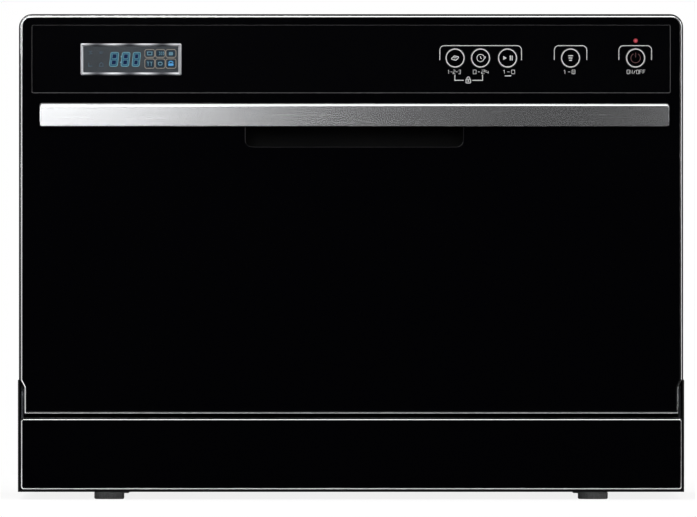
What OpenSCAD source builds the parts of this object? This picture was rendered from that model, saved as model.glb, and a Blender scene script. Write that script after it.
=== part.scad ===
// Countertop dishwasher with a drop-down front door and one rack.
// Millimetres. +X is to the right seen from the front, -Y is the front, +Z is up.
// The origin lies on the worktop, under the middle of the machine.

/* [Overall] */
// Width over the cabinet
body_w = 550; // [530:1:600]
// Depth from the front of the handle strip to the end of the water inlet
body_d = 500; // [490:1:560]
// Height with the feet
body_h = 401.3; // [396:0.1:440]

/* [Feet] */
// Height of the feet below the base
foot_h = 6.2; // [5:0.1:8]
// Diameter of a foot
foot_d = 24.8; // [20:0.1:30]
// Distance of the feet from the machine's sides
foot_side = 75; // [60:1:85]
// Distance of the front feet behind the door's face
foot_in = 35; // [28:1:60]
// Radius of the threaded stem of a front foot
foot_stem_r = 4; // [3:0.1:5]

/* [Cabinet] */
// Thickness of the painted cabinet sheet
wrap_t = 1.2; // [0.8:0.1:1.6]
// Outer radius of the cabinet's top corners
wrap_r = 11; // [8:0.5:14]
// How far the water inlet stands behind the rear panel
inlet_proud = 18; // [14:0.5:20]
// Thickness of the base tray's floor and walls
tray_t = 3; // [2.5:0.1:4]
// Height of the base tray's walls above its floor
tray_wall_h = 40; // [25:1:42]
// Side of a square post that carries the tub
post_w = 20; // [14:1:28]

/* [Plinth] */
// Height of the plinth panel's top edge
plinth_top = 67.7; // [64:0.1:72]
// Width of the line of bright trim round the plinth
plinth_trim_w = 1.3; // [0.8:0.1:2]
// Thickness of the plinth panel
plinth_t = 2.2; // [1.6:0.1:2.6]
// Thickness of the thin outer wall of a hinge cover
cover_t = 1.6; // [1.4:0.1:1.8]

/* [Door] */
// Thickness of the door from its face to its inner side
door_t = 45; // [40:1:48]
// Margin of the cabinet that shows round the door
door_margin = 2; // [1.8:0.1:3]
// Gap between the plinth and the door
door_gap = 3.3; // [3.3:0.1:5]
// How much narrower each side of the door is at its foot
jog_w = 3; // [3:0.1:4]
// Height of the narrow foot of the door, below the slanted step
jog_h = 22; // [21.5:0.5:24]
// Height of the slanted step
jog_slant = 5.7; // [4:0.1:7]
// Width of the bright trim round the door
trim_w = 1.6; // [1:0.1:2.4]
// Thickness of the door's front skin
skin_t = 1.2; // [1:0.1:1.4]
// Wall of the door frame
frame_t = 2.4; // [2:0.1:3]
// Thickness of the steel inner liner
liner_t = 1; // [0.8:0.1:1.2]
// Depth of the pressed tray in the inner liner
liner_dish = 8; // [5:0.5:9]
// Height of the pressed tray's lower edge above the hinge
dish_rise = 40; // [34:1:60]
// Gap between the closed door and the cabinet
seal_gap = 5; // [4.5:0.1:6]

/* [Hinge] */
// Height of the hinge axis above the door's lower edge
hinge_up = 14; // [13:0.5:14.5]
// Distance of the hinge axis behind the door's face
hinge_in = 16.5; // [15.5:0.5:16.5]
// Radius of the hinge pin
pin_r = 4; // [3:0.1:5]
// Radial play of a pin or shaft in its bore
run_gap = 0.05; // [0.02:0.01:0.08]
// Thickness of the hinge plates
plate_t = 2; // [1.6:0.1:2]
// How far a hinge bracket reaches behind the front edge of the cabinet
bracket_reach = 60; // [40:1:90]
// Height of a hinge bracket's rear end
bracket_rise = 30; // [20:1:38]
// Radius of a hinge arm's eye
eye_r = 10; // [9:0.5:11]
// Length of a hinge arm above its pin
arm_rise = 60; // [45:1:90]

/* [Console] */
// Distance of the console panel's ends from the machine's sides
console_side = 11.8; // [11.8:0.1:24]
// Height of the console panel
console_h = 55.3; // [53:0.1:57]
// Distance of the console panel's top edge below the top of the machine
console_drop = 9.9; // [9.4:0.1:12]
// Width of the display
display_w = 83.2; // [70:0.1:90]
// Height of the display
display_h = 26.1; // [24:0.1:30]
// Distance of the display's middle from the machine's left side
display_in = 93.4; // [75:0.1:105]
// Height of the display's middle above the console's lower edge
display_up = 27.2; // [24:0.1:30]
// Width of the display's bright bezel
bezel_w = 2.2; // [1.5:0.1:3]
// Diameter of a push button
button_d = 17; // [14:0.1:18]
// Height of the buttons' middle above the console's lower edge
button_up = 28.3; // [25:0.1:31]
// Travel of a push button
button_travel = 1.2; // [0.8:0.1:1.5]
// Gap round a moving button or lid
slide_gap = 0.3; // [0.2:0.05:0.4]
// Distances of the five buttons from the machine's right side
button_in = [189.1, 168.1, 145.8, 93.8, 40.1];
// Diameter of the status lamp
lamp_d = 4; // [3:0.1:5]
// Height of the status lamp above the buttons' middle
lamp_up = 14.3; // [13:0.1:16]

/* [Handle] */
// Distance of the handle strip's left end from the machine's side
handle_left = 17.75; // [14:0.05:60]
// Distance of the handle strip's right end from the machine's side
handle_right = 12.35; // [12:0.05:60]
// Height of the handle strip
handle_h = 19.2; // [16:0.1:24]
// Gap between the console panel and the handle strip
handle_drop = 9; // [7:0.1:14]
// How far the handle strip stands in front of the door
handle_proud = 5; // [4:0.1:8]
// Width of the grip pocket behind the strip
grip_w = 180; // [120:1:240]
// Height of the grip pocket below the strip
grip_below = 17; // [14:1:30]
// Depth of the grip pocket behind the door's face
grip_depth = 24; // [18:1:27]
// Wall of the grip pocket
grip_t = 1.6; // [1.2:0.1:2.4]
// Width of the grip pocket's rim behind the door's skin
grip_rim = 6; // [5:0.5:8]

/* [Tub] */
// Distance between the tub's side wall and the machine's side
tub_side = 25; // [23:0.5:30]
// Wall of the tub
tub_t = 1.2; // [0.8:0.1:1.5]
// Inside corner radius of the tub
tub_r = 14; // [8:1:20]
// Space between the tub's ceiling and the top of the cabinet
roof_space = 18.2; // [17:0.1:22]
// Space between the tub's rear wall and the rear panel
rear_space = 28; // [24:1:32]
// Step from the open door up to the tub's floor
floor_step = 3; // [2:0.5:4]

/* [Water parts] */
// Length of the spray arm from tip to tip
arm_len = 364; // [300:1:370]
// Width of the spray arm at its middle
arm_w = 38; // [30:1:48]
// Thickness of the spray arm
arm_t = 13; // [10:0.5:14]
// Height of the spray arm above the tub's floor
arm_up = 11; // [9:0.5:12]
// Radius of the pin that the spray arm turns on
arm_pin_r = 6; // [5:0.1:7]
// Outer radius of the spray hub
hub_r = 11; // [9:0.5:13]
// Radius of the flat filter plate
filter_r = 62; // [55:1:66]
// Radius of the filter cup
cup_r = 27; // [22:1:32]
// Depth of the filter cup
cup_depth = 46; // [36:1:54]
// Distance of the filter's middle from the machine's right side
filter_side = 170; // [163:1:177]
// Distance of the filter in front of the spray arm's axis
filter_fwd = 64; // [58:1:70]
// Distance of the salt reservoir's middle from the machine's left side
salt_side = 135; // [125:1:145]
// Distance of the salt reservoir in front of the spray arm's axis
salt_fwd = 84; // [70:1:90]
// Radius of the salt reservoir
salt_r = 46; // [36:1:48]
// Radius of the salt reservoir's neck
neck_r = 27; // [20:0.5:30]
// Radius of the circulation pump's volute
pump_r = 40; // [34:0.5:40]
// Depth of the circulation pump's volute
volute_len = 30; // [26:1:34]
// Length of the circulation pump's motor
motor_len = 88; // [70:1:96]
// Radius of the drain pump
drain_pump_r = 24; // [18:0.5:28]
// Length of the drain pump
drain_pump_len = 52; // [40:1:56]
// Radius of the inner hoses
hose_r = 9; // [7:0.5:10]
// Height of the salt cap's grip above its rim
cap_grip_h = 3.6; // [2.5:0.1:4.5]

/* [Leak float] */
// Radius of the leak float
float_r = 22; // [16:1:26]
// Height of the leak float
float_h = 15.6; // [12:0.1:18]
// Length of the float's stem above the float
float_stem = 10; // [8:0.5:12]
// Radius of the pin that guides the float
float_pin_r = 3; // [2.5:0.1:4]
// Lift of the float up to its switch
float_lift = 10; // [9:0.5:12]
// Width of the float's switch
switch_w = 28; // [24:1:36]
// Height of the float's switch
switch_h = 18; // [14:1:24]

/* [Rear connections] */
// Radius of the water inlet's thread
inlet_r = 13.2; // [10:0.1:14]
// Distance of the water inlet from the machine's right side
inlet_side = 125; // [115:1:135]
// Height of the water inlet
inlet_z = 60; // [56:1:66]
// Radius of the drain spigot
spigot_r = 10; // [8:0.1:11]
// Distance of the drain spigot from the machine's right side
spigot_side = 63; // [55:1:69]
// Height of the drain spigot
spigot_z = 78; // [74:1:84]
// Radius of the cable gland
gland_r = 8; // [6:0.1:10]
// Distance of the cable gland from the machine's left side
gland_side = 75; // [60:1:115]

/* [Rack] */
// Gap between the tub's side wall and the rack
rack_side = 28; // [27:1:32]
// Gap between the closed door and the rack
rack_front = 30; // [28:1:34]
// Gap between the rack and the tub's rear wall
rack_back = 34; // [28:1:50]
// Height of the rack's floor above the tub's floor
rack_up = 37; // [35:1:40]
// Height of the rack's sides
rack_h = 92; // [80:1:100]
// Thickness of the rack's wires
wire = 3.2; // [2.8:0.1:3.6]
// Pitch of the rack's wires
wire_pitch = 28; // [24:1:40]
// Height of the plate tines above the rack's floor
tine_h = 60; // [40:1:64]
// Radius of the rack's wheels
wheel_r = 14; // [12:0.5:15]
// Width of the rack's wheels
wheel_w = 10; // [8:0.5:11]
// Distance of the wheels from the rack's ends
wheel_in = 85; // [80:1:95]
// Depth of the folding cup shelf
shelf_w = 96; // [70:1:105]
// Length of the folding cup shelf
shelf_len = 236; // [180:1:260]
// Width of the cutlery basket
cutlery_w = 72; // [56:1:76]
// Length of the cutlery basket
cutlery_len = 140; // [110:1:160]
// Height of the cutlery basket
cutlery_h = 112; // [90:1:125]

/* [Dispenser] */
// Width of the dispenser in the inner door
disp_w = 168; // [160:1:190]
// Height of the dispenser
disp_h = 92; // [86:1:110]
// Gap between the grip pocket's rim and the dispenser
disp_drop = 9.9; // [4:0.1:28]
// Width of the detergent cup
deter_w = 52; // [44:1:54]
// Height of the detergent cup
deter_h = 56; // [46:1:62]
// Depth of the detergent cup
deter_depth = 20; // [14:1:24]
// Radius of the rinse-aid cap
rinse_r = 15; // [12:0.5:17]

/* [Hidden] */
$fn = 48;

// Sideways
side_x = body_w / 2;
wrap_in_x = side_x - wrap_t;
door_x = side_x - door_margin;
tub_x = side_x - tub_side;
tray_x = wrap_in_x - plate_t - wrap_t;
rack_x = tub_x - rack_side;
foot_x = side_x - foot_side;
console_w = body_w - 2 * console_side;
display_x = display_in - side_x;
button_x = [for (d = button_in) side_x - d];
handle_w = body_w - handle_left - handle_right;
handle_x = (handle_left - handle_right) / 2;
filter_x = side_x - filter_side;
salt_x = salt_side - side_x;
inlet_x = side_x - inlet_side;
spigot_x = side_x - spigot_side;
gland_x = gland_side - side_x;

// Front to back
front_y = -body_d / 2;
face_y = front_y + handle_proud;
inner_y = face_y + door_t;
cab_y = inner_y + seal_gap;
back_y = body_d / 2 - inlet_proud;
tub_back_y = back_y - rear_space;
hinge_y = face_y + hinge_in;
hub_y = (cab_y + tub_back_y) / 2;
filter_y = hub_y - filter_fwd;
salt_y = hub_y - salt_fwd;

// Upwards
base_z = foot_h;
tray_z = base_z + tray_t;
plinth_z = base_z + 2.1;
door_z = plinth_top + door_gap;
door_top = body_h - 1.7;
hinge_z = door_z + hinge_up;
floor_z = hinge_z + door_t - hinge_in + floor_step;
under_z = floor_z - tub_t;
roof_z = body_h - roof_space;
flange_z = floor_z - 14;
console_top = body_h - console_drop;
console_z = console_top - console_h;
display_z = console_z + display_up;
button_z = console_z + button_up;
handle_z1 = console_z - handle_drop;
handle_z0 = handle_z1 - handle_h;
grip_z0 = handle_z0 - grip_below;
grip_z1 = handle_z1 - 2;
rack_z = floor_z + rack_up;
wheel_z = floor_z + slide_gap + wheel_r;
disp_z = grip_z0 - grip_rim - disp_drop - disp_h;

// Radii and small fits
seam = 0.05;
collar_r = inlet_r + 2;
bracket_r = jog_h - hinge_up + 0.5;
tub_seal_w = 6;
console_y = face_y - 0.4;
console_back = face_y + skin_t + 1.4;
cover_x = side_x - cover_t;
rib_x = door_x - jog_w + 0.6;
washer_x = door_x - jog_w;

// A flat shape drawn in X and Z, made solid from y0 back to y1
module slab(y0, y1) translate([0, y1, 0]) rotate([90, 0, 0]) linear_extrude(y1 - y0) children();

// A flat shape drawn in Y and Z, made solid from x0 to x1
module side_slab(x0, x1) translate([x0, 0, 0]) rotate([90, 0, 90]) linear_extrude(x1 - x0) children();

// A rectangle with round corners, from its edges
module rrect(x0, x1, z0, z1, r) {
    translate([x0 + r, z0]) square([x1 - x0 - 2 * r, z1 - z0]);
    translate([x0, z0 + r]) square([x1 - x0, z1 - z0 - 2 * r]);
    for (x = [x0 + r, x1 - r], z = [z0 + r, z1 - r]) translate([x, z]) circle(r);
}

module box(x0, x1, y0, y1, z0, z1) translate([x0, y0, z0]) cube([x1 - x0, y1 - y0, z1 - z0]);

module rod_y(x, z, r, y0, y1) translate([x, y0, z]) rotate([-90, 0, 0]) cylinder(y1 - y0, r, r);

module rod_x(y, z, r, x0, x1) translate([x0, y, z]) rotate([0, 90, 0]) cylinder(x1 - x0, r, r);

module rod_z(x, y, r, z0, z1) translate([x, y, z0]) cylinder(z1 - z0, r, r);

module both_sides() {
    children();
    mirror([1, 0, 0]) children();
}

// Outline of the cabinet seen from the front, drawn in by e, down to z0
module cabinet_shape(e, z0) {
    r = wrap_r - e;
    x = side_x - e;
    z = body_h - e;
    polygon([[-x, z0], [x, z0], [x, z - r], [x - r, z], [r - x, z], [-x, z - r]]);
    for (s = [-1, 1]) translate([s * (x - r), z - r]) circle(r);
}

// Outline of the door with its narrower foot, drawn in by e
module door_shape(e) {
    r = wrap_r - door_margin - e;
    x = door_x - e;
    xf = x - jog_w;
    z0 = door_z + e;
    z1 = door_z + jog_h;
    z2 = z1 + jog_slant;
    z3 = door_top - e;
    polygon([[-xf, z0], [xf, z0], [xf, z1], [x, z2], [x, z3 - r], [x - r, z3], [r - x, z3],
        [-x, z3 - r], [-x, z2], [-xf, z1]]);
    for (s = [-1, 1]) translate([s * (x - r), z3 - r]) circle(r);
}

// A flat frame of crossing wires, nx by ny cells
module wire_grid(x0, x1, y0, y1, nx, ny) {
    difference() {
        translate([x0, y0]) square([x1 - x0, y1 - y0]);
        translate([x0 + wire, y0 + wire]) square([x1 - x0 - 2 * wire, y1 - y0 - 2 * wire]);
    }
    for (i = [1:1:nx - 1]) {
        translate([x0 + (x1 - x0 - wire) * i / nx, y0]) square([wire, y1 - y0]);
    }
    for (i = [1:1:ny - 1]) {
        translate([x0, y0 + (y1 - y0 - wire) * i / ny]) square([x1 - x0, wire]);
    }
}

// ---- Cabinet ----

module outer_wrap() color("#0b0b0c") slab(cab_y, back_y) difference() {
    cabinet_shape(0, base_z);
    cabinet_shape(wrap_t, base_z - 1);
}

module rear_panel() color("#1a1a1c") difference() {
    slab(back_y - wrap_t, back_y) cabinet_shape(wrap_t, tray_z);
    rod_y(inlet_x, inlet_z, collar_r + slide_gap, back_y - 5, back_y + 5);
    rod_y(spigot_x, spigot_z, spigot_r + slide_gap, back_y - 5, back_y + 5);
    rod_y(gland_x, inlet_z, gland_r + slide_gap, back_y - 5, back_y + 5);
    for (i = [-5:5], k = [0:3]) {
        slab(back_y - 5, back_y + 5) translate([i * 16, roof_z - 60 - k * 9]) square([10, 3]);
    }
}

module base_tray() color("#2a2b2d") difference() {
    union() {
        box(-wrap_in_x, wrap_in_x, cab_y, back_y, base_z, tray_z);
        box(-cover_x, cover_x, face_y, cab_y, base_z, plinth_z);
        box(-cover_x, cover_x, face_y + plinth_t, cab_y, base_z, tray_z);
        difference() {
            box(-tray_x, tray_x, face_y + plinth_t, back_y - wrap_t, tray_z, tray_z + tray_wall_h);
            box(-tray_x + tray_t, tray_x - tray_t, face_y + plinth_t + tray_t, back_y - wrap_t - tray_t,
                tray_z - 1, tray_z + tray_wall_h + 1);
        }
        for (s = [-1, 1], y = [cab_y + 40, tub_back_y - 40]) {
            translate([s * post_x - post_w / 2, y - post_w / 2, tray_z - 1])
                cube([post_w, post_w, under_z - tray_z + 1]);
        }
        box(-tray_x, tray_x, cab_y, cab_y + tray_t, tray_z - 1, flange_z);
        for (s = [-1, 1]) rod_z(s * foot_x, face_y + foot_in, foot_stem_r + 5, base_z, tray_z + 16);
        rod_z(float_x, float_y, float_pin_r, base_z, switch_z - 2);
    }
    for (s = [-1, 1]) {
        rod_z(s * foot_x, face_y + foot_in, foot_stem_r + run_gap, base_z - 1, tray_z + 17);
    }
    box(inlet_x - 22, inlet_x + 22, back_y - wrap_t - tray_t - 1, back_y - wrap_t + 1, inlet_z - 22,
        tray_z + tray_wall_h + 1);
}

module plinth_panel() color("#0a0a0b") slab(face_y, face_y + plinth_t) {
    rrect(-door_x + plinth_trim_w, door_x - plinth_trim_w, plinth_z + plinth_trim_w,
        plinth_top - plinth_trim_w, 1.4);
}

module plinth_edge_trim() color("#c9cacb") slab(face_y - 0.2, face_y + plinth_t) difference() {
    rrect(-door_x, door_x, plinth_z, plinth_top, 2.6);
    rrect(-door_x + plinth_trim_w, door_x - plinth_trim_w, plinth_z + plinth_trim_w,
        plinth_top - plinth_trim_w, 1.4);
}

module hinge_covers() color("#37383a") both_sides() {
    side_slab(cover_x, side_x) polygon([[face_y, base_z], [cab_y, base_z],
        [cab_y, door_z + jog_h + jog_slant], [face_y, door_z + jog_h + jog_slant]]);
}

module hinge_brackets() color("#3c3d40") both_sides() difference() {
    side_slab(rib_x, rib_x + plate_t) {
        translate([hinge_y, hinge_z]) circle(bracket_r);
        polygon([[hinge_y - bracket_r, hinge_z], [hinge_y - bracket_r, tray_z],
            [cab_y + bracket_reach, tray_z], [cab_y + bracket_reach, tray_z + bracket_rise],
            [cab_y + bracket_reach / 3, tray_z + bracket_rise + 16],
            [hinge_y + bracket_r + 4, hinge_z - 8], [hinge_y + bracket_r, hinge_z]]);
    }
    rod_x(hinge_y, hinge_z, pin_r + run_gap, rib_x - 1, rib_x + plate_t + 1);
}

// A bent wrapper of sides and ceiling, a floor, a rear wall and the four strips of the front frame
module tub() color("#b9bcbf") {
    difference() {
        slab(cab_y, tub_back_y - seam) {
            rrect(-tub_x - tub_t, tub_x + tub_t, under_z, roof_z + tub_t, tub_r + tub_t);
        }
        slab(cab_y - 1, tub_back_y) rrect(-tub_x, tub_x, floor_z, roof_z, tub_r);
        box(-tub_x + tub_r - seam, tub_x - tub_r + seam, cab_y - 1, tub_back_y, under_z - 1, floor_z + 1);
    }
    difference() {
        box(-tub_x + tub_r, tub_x - tub_r, cab_y, tub_back_y - seam, under_z, floor_z);
        rod_z(filter_x, filter_y, filter_r, under_z - 1, floor_z + 1);
        rod_z(0, hub_y, hub_r, under_z - 1, floor_z + 1);
        rod_z(salt_x, salt_y, neck_r + 4, under_z - 1, floor_z + 1);
    }
    slab(tub_back_y, tub_back_y + tub_t) {
        rrect(-tub_x - tub_t, tub_x + tub_t, under_z, roof_z + tub_t, tub_r + tub_t);
    }
    box(-wrap_in_x, wrap_in_x, cab_y, cab_y + tub_t, flange_z, under_z - seam);
    both_sides() box(tub_x + tub_t + seam, wrap_in_x, cab_y, cab_y + tub_t, under_z, roof_z + tub_t);
    difference() {
        slab(cab_y, cab_y + tub_t) cabinet_shape(wrap_t, roof_z);
        box(-side_x, side_x, cab_y - 1, cab_y + tub_t + 1, roof_z - wrap_r, roof_z + tub_t + seam);
        box(-10, 10, cab_y - 1, cab_y + tub_t + 1, latch_z - 4, latch_z + 6);
    }
}

// A seal round the sides and the top, and a straight one below
module tub_gasket() color("#5a5c5e") {
    x1 = tub_x + tub_seal_w + 1;
    difference() {
        slab(inner_y + slide_gap, cab_y) rrect(-x1, x1, floor_z - 60, roof_z + 2, tub_r + tub_seal_w);
        slab(inner_y, cab_y + 1) rrect(-tub_x - 1, tub_x + 1, floor_z - 60, roof_z - 4, tub_r);
        box(-x1 - 1, x1 + 1, inner_y, cab_y + 1, floor_z - 61, floor_z - 2);
    }
    box(-x1, x1, inner_y + slide_gap, cab_y, floor_z - tub_seal_w - 2, floor_z - 2 - seam);
}

// Ledges above the wheels, which keep the rack level as it comes out
module rack_runners() color("#a9acaf") both_sides() {
    translate([0, 0, wheel_z + wheel_r + 1.5]) {
        box(rack_x + 6, tub_x, cab_y + 10, tub_back_y - 10, 0, 2);
        box(tub_x - 2, tub_x, cab_y + 10, tub_back_y - 10, 0, 14);
    }
}

module latch_strike() color("#8d9093") difference() {
    box(-16, 16, cab_y + tub_t, cab_y + 24, roof_z + tub_t, roof_z + tub_t + 14);
    box(-11, 11, cab_y, cab_y + 21, latch_z - 1.6, latch_z + 7);
    box(-11, 11, cab_y + 9, cab_y + 21, latch_z - 3.9, latch_z);
}

module sump() color("#3a3b3e") difference() {
    union() {
        rod_z(filter_x, filter_y, filter_r - 0.2, sump_z, floor_z - 3);
        rod_z(filter_x, filter_y, filter_r + 6, under_z - 4, under_z);
        rod_y(filter_x, pump_z, 15, filter_y, pump_y0);
        rod_x(filter_y, drain_z, 12, filter_x, drain_x0);
    }
    rod_z(filter_x, filter_y, filter_r - 3, sump_z + 3, floor_z + 1);
    rod_z(filter_x, filter_y, filter_r - 0.2, floor_z - 3, floor_z + 1);
}

module filter_plate() color("#9ea1a4") difference() {
    rod_z(filter_x, filter_y, filter_r - 0.4, floor_z - 3, floor_z - 1.4);
    rod_z(filter_x, filter_y, cup_r + slide_gap, floor_z - 4, floor_z);
    for (ring = [0:2], a = [0:15:345]) {
        rotate_about(filter_x, filter_y, a + ring * 7)
            rod_z(cup_r + 7 + ring * 9, 0, 1.3, floor_z - 4, floor_z);
    }
}

module rotate_about(x, y, a) translate([x, y, 0]) rotate([0, 0, a]) children();

module spray_hub() color("#7d8084") difference() {
    union() {
        rod_z(0, hub_y, hub_r, feed_z - hose_r - 2, floor_z + arm_up - 2);
        rod_z(0, hub_y, hub_r + 9, floor_z, floor_z + 3);
        rod_z(0, hub_y, arm_pin_r, floor_z + arm_up - 3, floor_z + arm_up + arm_t + 1);
        rod_z(0, hub_y, arm_pin_r + 3, floor_z + arm_up + arm_t + 0.4, floor_z + arm_up + arm_t + 4);
        rod_y(0, feed_z, hose_r, hub_y, pump_y0 + 15);
        rod_z(0, pump_y0 + 15, hose_r + 1.5, feed_z - hose_r - 1.5, feed_z + hose_r + 1.5);
        rod_x(pump_y0 + 15, feed_z, hose_r, 0, filter_x - pump_r - 6);
    }
    rod_z(0, hub_y, arm_pin_r - 2.5, feed_z, floor_z + arm_up + arm_t - 2);
}

module salt_reservoir() color("#d7d9da") difference() {
    union() {
        rod_z(salt_x, salt_y, salt_r, tray_z, under_z);
        rod_z(salt_x, salt_y, neck_r + 3.5, under_z - 1, floor_z + 3);
    }
    rod_z(salt_x, salt_y, salt_r - 3, tray_z + 3, under_z - 3);
    rod_z(salt_x, salt_y, neck_r, under_z - 4, floor_z + 4);
}

module circulation_pump() color("#2f4f63") {
    rod_y(filter_x, pump_z, pump_r, pump_y0, pump_y0 + volute_len);
    rod_y(filter_x, pump_z, pump_r - 8, pump_y0 + volute_len, pump_y0 + volute_len + motor_len);
    rod_x(pump_y0 + 15, feed_z, hose_r + 3, filter_x - pump_r - 6, filter_x - 4);
    box(filter_x - pump_r * 0.6, filter_x + pump_r * 0.6, pump_y0 + volute_len + 10,
        pump_y0 + volute_len + motor_len - 18, tray_z, pump_z - pump_r / 4);
}

module drain_pump() color("#46484b") {
    rod_x(filter_y, drain_z, drain_pump_r, drain_x0, drain_x0 + drain_pump_len);
    box(drain_x0 + 8, drain_x0 + drain_pump_len - 8, filter_y - drain_pump_r * 2 / 3,
        filter_y + drain_pump_r * 2 / 3, tray_z, drain_z);
    rod_z(drain_x0 + 18, filter_y, hose_r + 1, drain_z, spigot_z - 14);
}

module inlet_valve() color("#e3e4e4") difference() {
    union() {
        rod_y(inlet_x, inlet_z, inlet_r, back_y - 2, body_d / 2);
        rod_y(inlet_x, inlet_z, collar_r, back_y - wrap_t - 1, back_y);
        rod_y(inlet_x, inlet_z, collar_r + 3, back_y - wrap_t - 6, back_y - wrap_t);
        box(inlet_x - 16, inlet_x + 16, back_y - 42, back_y - wrap_t - 5, inlet_z - 18, inlet_z + 18);
    }
    rod_y(inlet_x, inlet_z, inlet_r - 4, back_y - 20, body_d / 2 + 1);
}

module drain_outlet() color("#4a4c4f") difference() {
    union() {
        rod_y(spigot_x, spigot_z, spigot_r, back_y - 14, back_y + inlet_proud - 3);
        rod_y(spigot_x, spigot_z, spigot_r + 5, back_y - wrap_t - 4, back_y - wrap_t);
        for (i = [0:2]) {
            translate([spigot_x, back_y + 2 + i * 4, spigot_z]) rotate([-90, 0, 0])
                cylinder(3, spigot_r + 0.8, spigot_r);
        }
    }
    rod_y(spigot_x, spigot_z, spigot_r - 3, back_y - 15, back_y + inlet_proud);
}

module terminal_box() color("#2b2c2e") difference() {
    union() {
        box(gland_x - 30, gland_x + 30, back_y - 46, back_y - wrap_t, tray_z + tray_wall_h + 1,
            under_z - 8);
        rod_y(gland_x, inlet_z, gland_r, back_y - 4, back_y + 9);
        rod_y(gland_x, inlet_z, gland_r + 3, back_y, back_y + 5);
    }
    rod_y(gland_x, inlet_z, gland_r - 3.5, back_y - 30, back_y + 10);
}

module internal_hoses() color("#8a8c8e") {
    // Drain hose, from the drain pump to the spigot
    hx = drain_x0 + 18;
    rod_z(hx, filter_y, hose_r, spigot_z - 14, spigot_z);
    translate([hx, filter_y, spigot_z]) sphere(hose_r);
    rod_x(filter_y, spigot_z, hose_r, hx, spigot_x);
    translate([spigot_x, filter_y, spigot_z]) sphere(hose_r);
    rod_y(spigot_x, spigot_z, hose_r, filter_y, back_y - 14);
    // Inlet hose, from the valve to the salt reservoir
    rod_x(back_y - 28, inlet_z, 6, salt_x, inlet_x - 16);
    translate([salt_x, back_y - 28, inlet_z]) sphere(6);
    rod_y(salt_x, inlet_z, 6, salt_y + salt_r, back_y - 28);
}

module leak_float() color("#e8e4d6") difference() {
    union() {
        rod_z(float_x, float_y, float_r, float_z0, float_z1);
        rod_z(float_x, float_y, float_pin_r * 2, float_z1, float_z2);
    }
    rod_z(float_x, float_y, float_pin_r + run_gap, tray_z - 1, float_z2 + 1);
}

module float_switch() color("#1d1e20") {
    x1 = switch_w / 2;
    z1 = switch_z + switch_h;
    translate([float_x, float_y - 8, switch_z]) {
        translate([-x1, 0, 0]) cube([switch_w, 16, switch_h]);
        for (x = [-x1, x1 - 6]) translate([x, 0, switch_h]) cube([6, 16, under_z - z1]);
    }
    rod_z(float_x, float_y, float_pin_r, switch_z - 2, switch_z);
}

module cabinet_screws() color("#9a9da0") {
    for (s = [-1, 1], z = [tray_z + 20, hinge_z + 30, roof_z - 20]) {
        rod_y(s * (wrap_in_x - 8), z, 3.5, back_y, back_y + 2);
    }
    for (x = [-90, 0, 90]) rod_y(x, body_h - wrap_t - 9, 3.5, back_y, back_y + 2);
}

module rear_feet() color("#3a3b3d") {
    for (s = [-1, 1]) rod_z(s * foot_x, back_y - foot_in, foot_d / 2, 0, base_z);
}

module front_foot(s) color("#3a3b3d") translate([s * foot_x, face_y + foot_in, 0]) {
    cylinder(0.8, foot_d / 2 - 0.8, foot_d / 2);
    translate([0, 0, 0.8]) cylinder(foot_h - 1, foot_d / 2, foot_d / 2);
    cylinder(tray_z + 14, foot_stem_r, foot_stem_r);
}

module front_foot_left() front_foot(-1);

module front_foot_right() front_foot(1);

module filter_cup() color("#6f7276") difference() {
    union() {
        rod_z(filter_x, filter_y, cup_r, floor_z - 3 - cup_depth, floor_z - 2);
        rod_z(filter_x, filter_y, cup_r + 4, floor_z - 1.1, floor_z + 1);
        rod_z(filter_x, filter_y, cup_r - 1, floor_z - 3, floor_z);
        box(filter_x - 16, filter_x + 16, filter_y - 2, filter_y + 2, floor_z, floor_z + 8);
    }
    rod_z(filter_x, filter_y, cup_r - 2, floor_z - 1 - cup_depth, floor_z - 5);
}

module salt_cap() color("#4b4e52") {
    rod_z(salt_x, salt_y, neck_r - run_gap, under_z - 8, floor_z + 3.2);
    rod_z(salt_x, salt_y, neck_r + 3, floor_z + 3.2, floor_z + 5.4);
    box(salt_x - neck_r + 7, salt_x + neck_r - 7, salt_y - 2.5, salt_y + 2.5, floor_z + 5.4,
        floor_z + 5.4 + cap_grip_h);
}

module spray_arm() color("#c3c5c7") {
    z0 = floor_z + arm_up;
    tip_w = arm_w * 0.62;
    reach = arm_len / 2 - tip_w / 2;
    difference() {
        translate([0, hub_y, z0]) linear_extrude(arm_t) {
            circle(arm_w / 2 + 3);
            polygon([[-reach, -tip_w / 2], [0, -arm_w / 2], [reach, -tip_w / 2], [reach, tip_w / 2],
                [0, arm_w / 2], [-reach, tip_w / 2]]);
            for (s = [-1, 1]) translate([s * reach, 0]) circle(tip_w / 2);
        }
        rod_z(0, hub_y, arm_pin_r + run_gap, z0 - 1, z0 + arm_t + 1);
        for (x = [36:26:reach], s = [-1, 1]) {
            rod_z(s * x, hub_y + s * 5, 1.6, z0 + arm_t - 3, z0 + arm_t + 1);
        }
    }
}

// ---- Door ----

module door_outer_panel() color("#050506") difference() {
    slab(face_y, face_y + skin_t) door_shape(trim_w);
    slab(face_y - 1, face_y + skin_t + 1) {
        rrect(-console_w / 2 - 0.3, console_w / 2 + 0.3, console_z - 0.3, console_top + 0.3, 1.3);
        rrect(handle_x - grip_w / 2, handle_x + grip_w / 2, grip_z0, grip_z1, 6);
    }
}

module door_edge_trim() color("#d3d5d6") slab(face_y - 0.3, face_y + skin_t) difference() {
    door_shape(0);
    door_shape(trim_w);
}

module door_frame() color("#101112") difference() {
    slab(face_y + skin_t, inner_y - liner_t) difference() {
        door_shape(0);
        door_shape(frame_t);
    }
    rod_x(hinge_y, hinge_z, pin_r + 0.2, -side_x, side_x);
}

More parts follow.
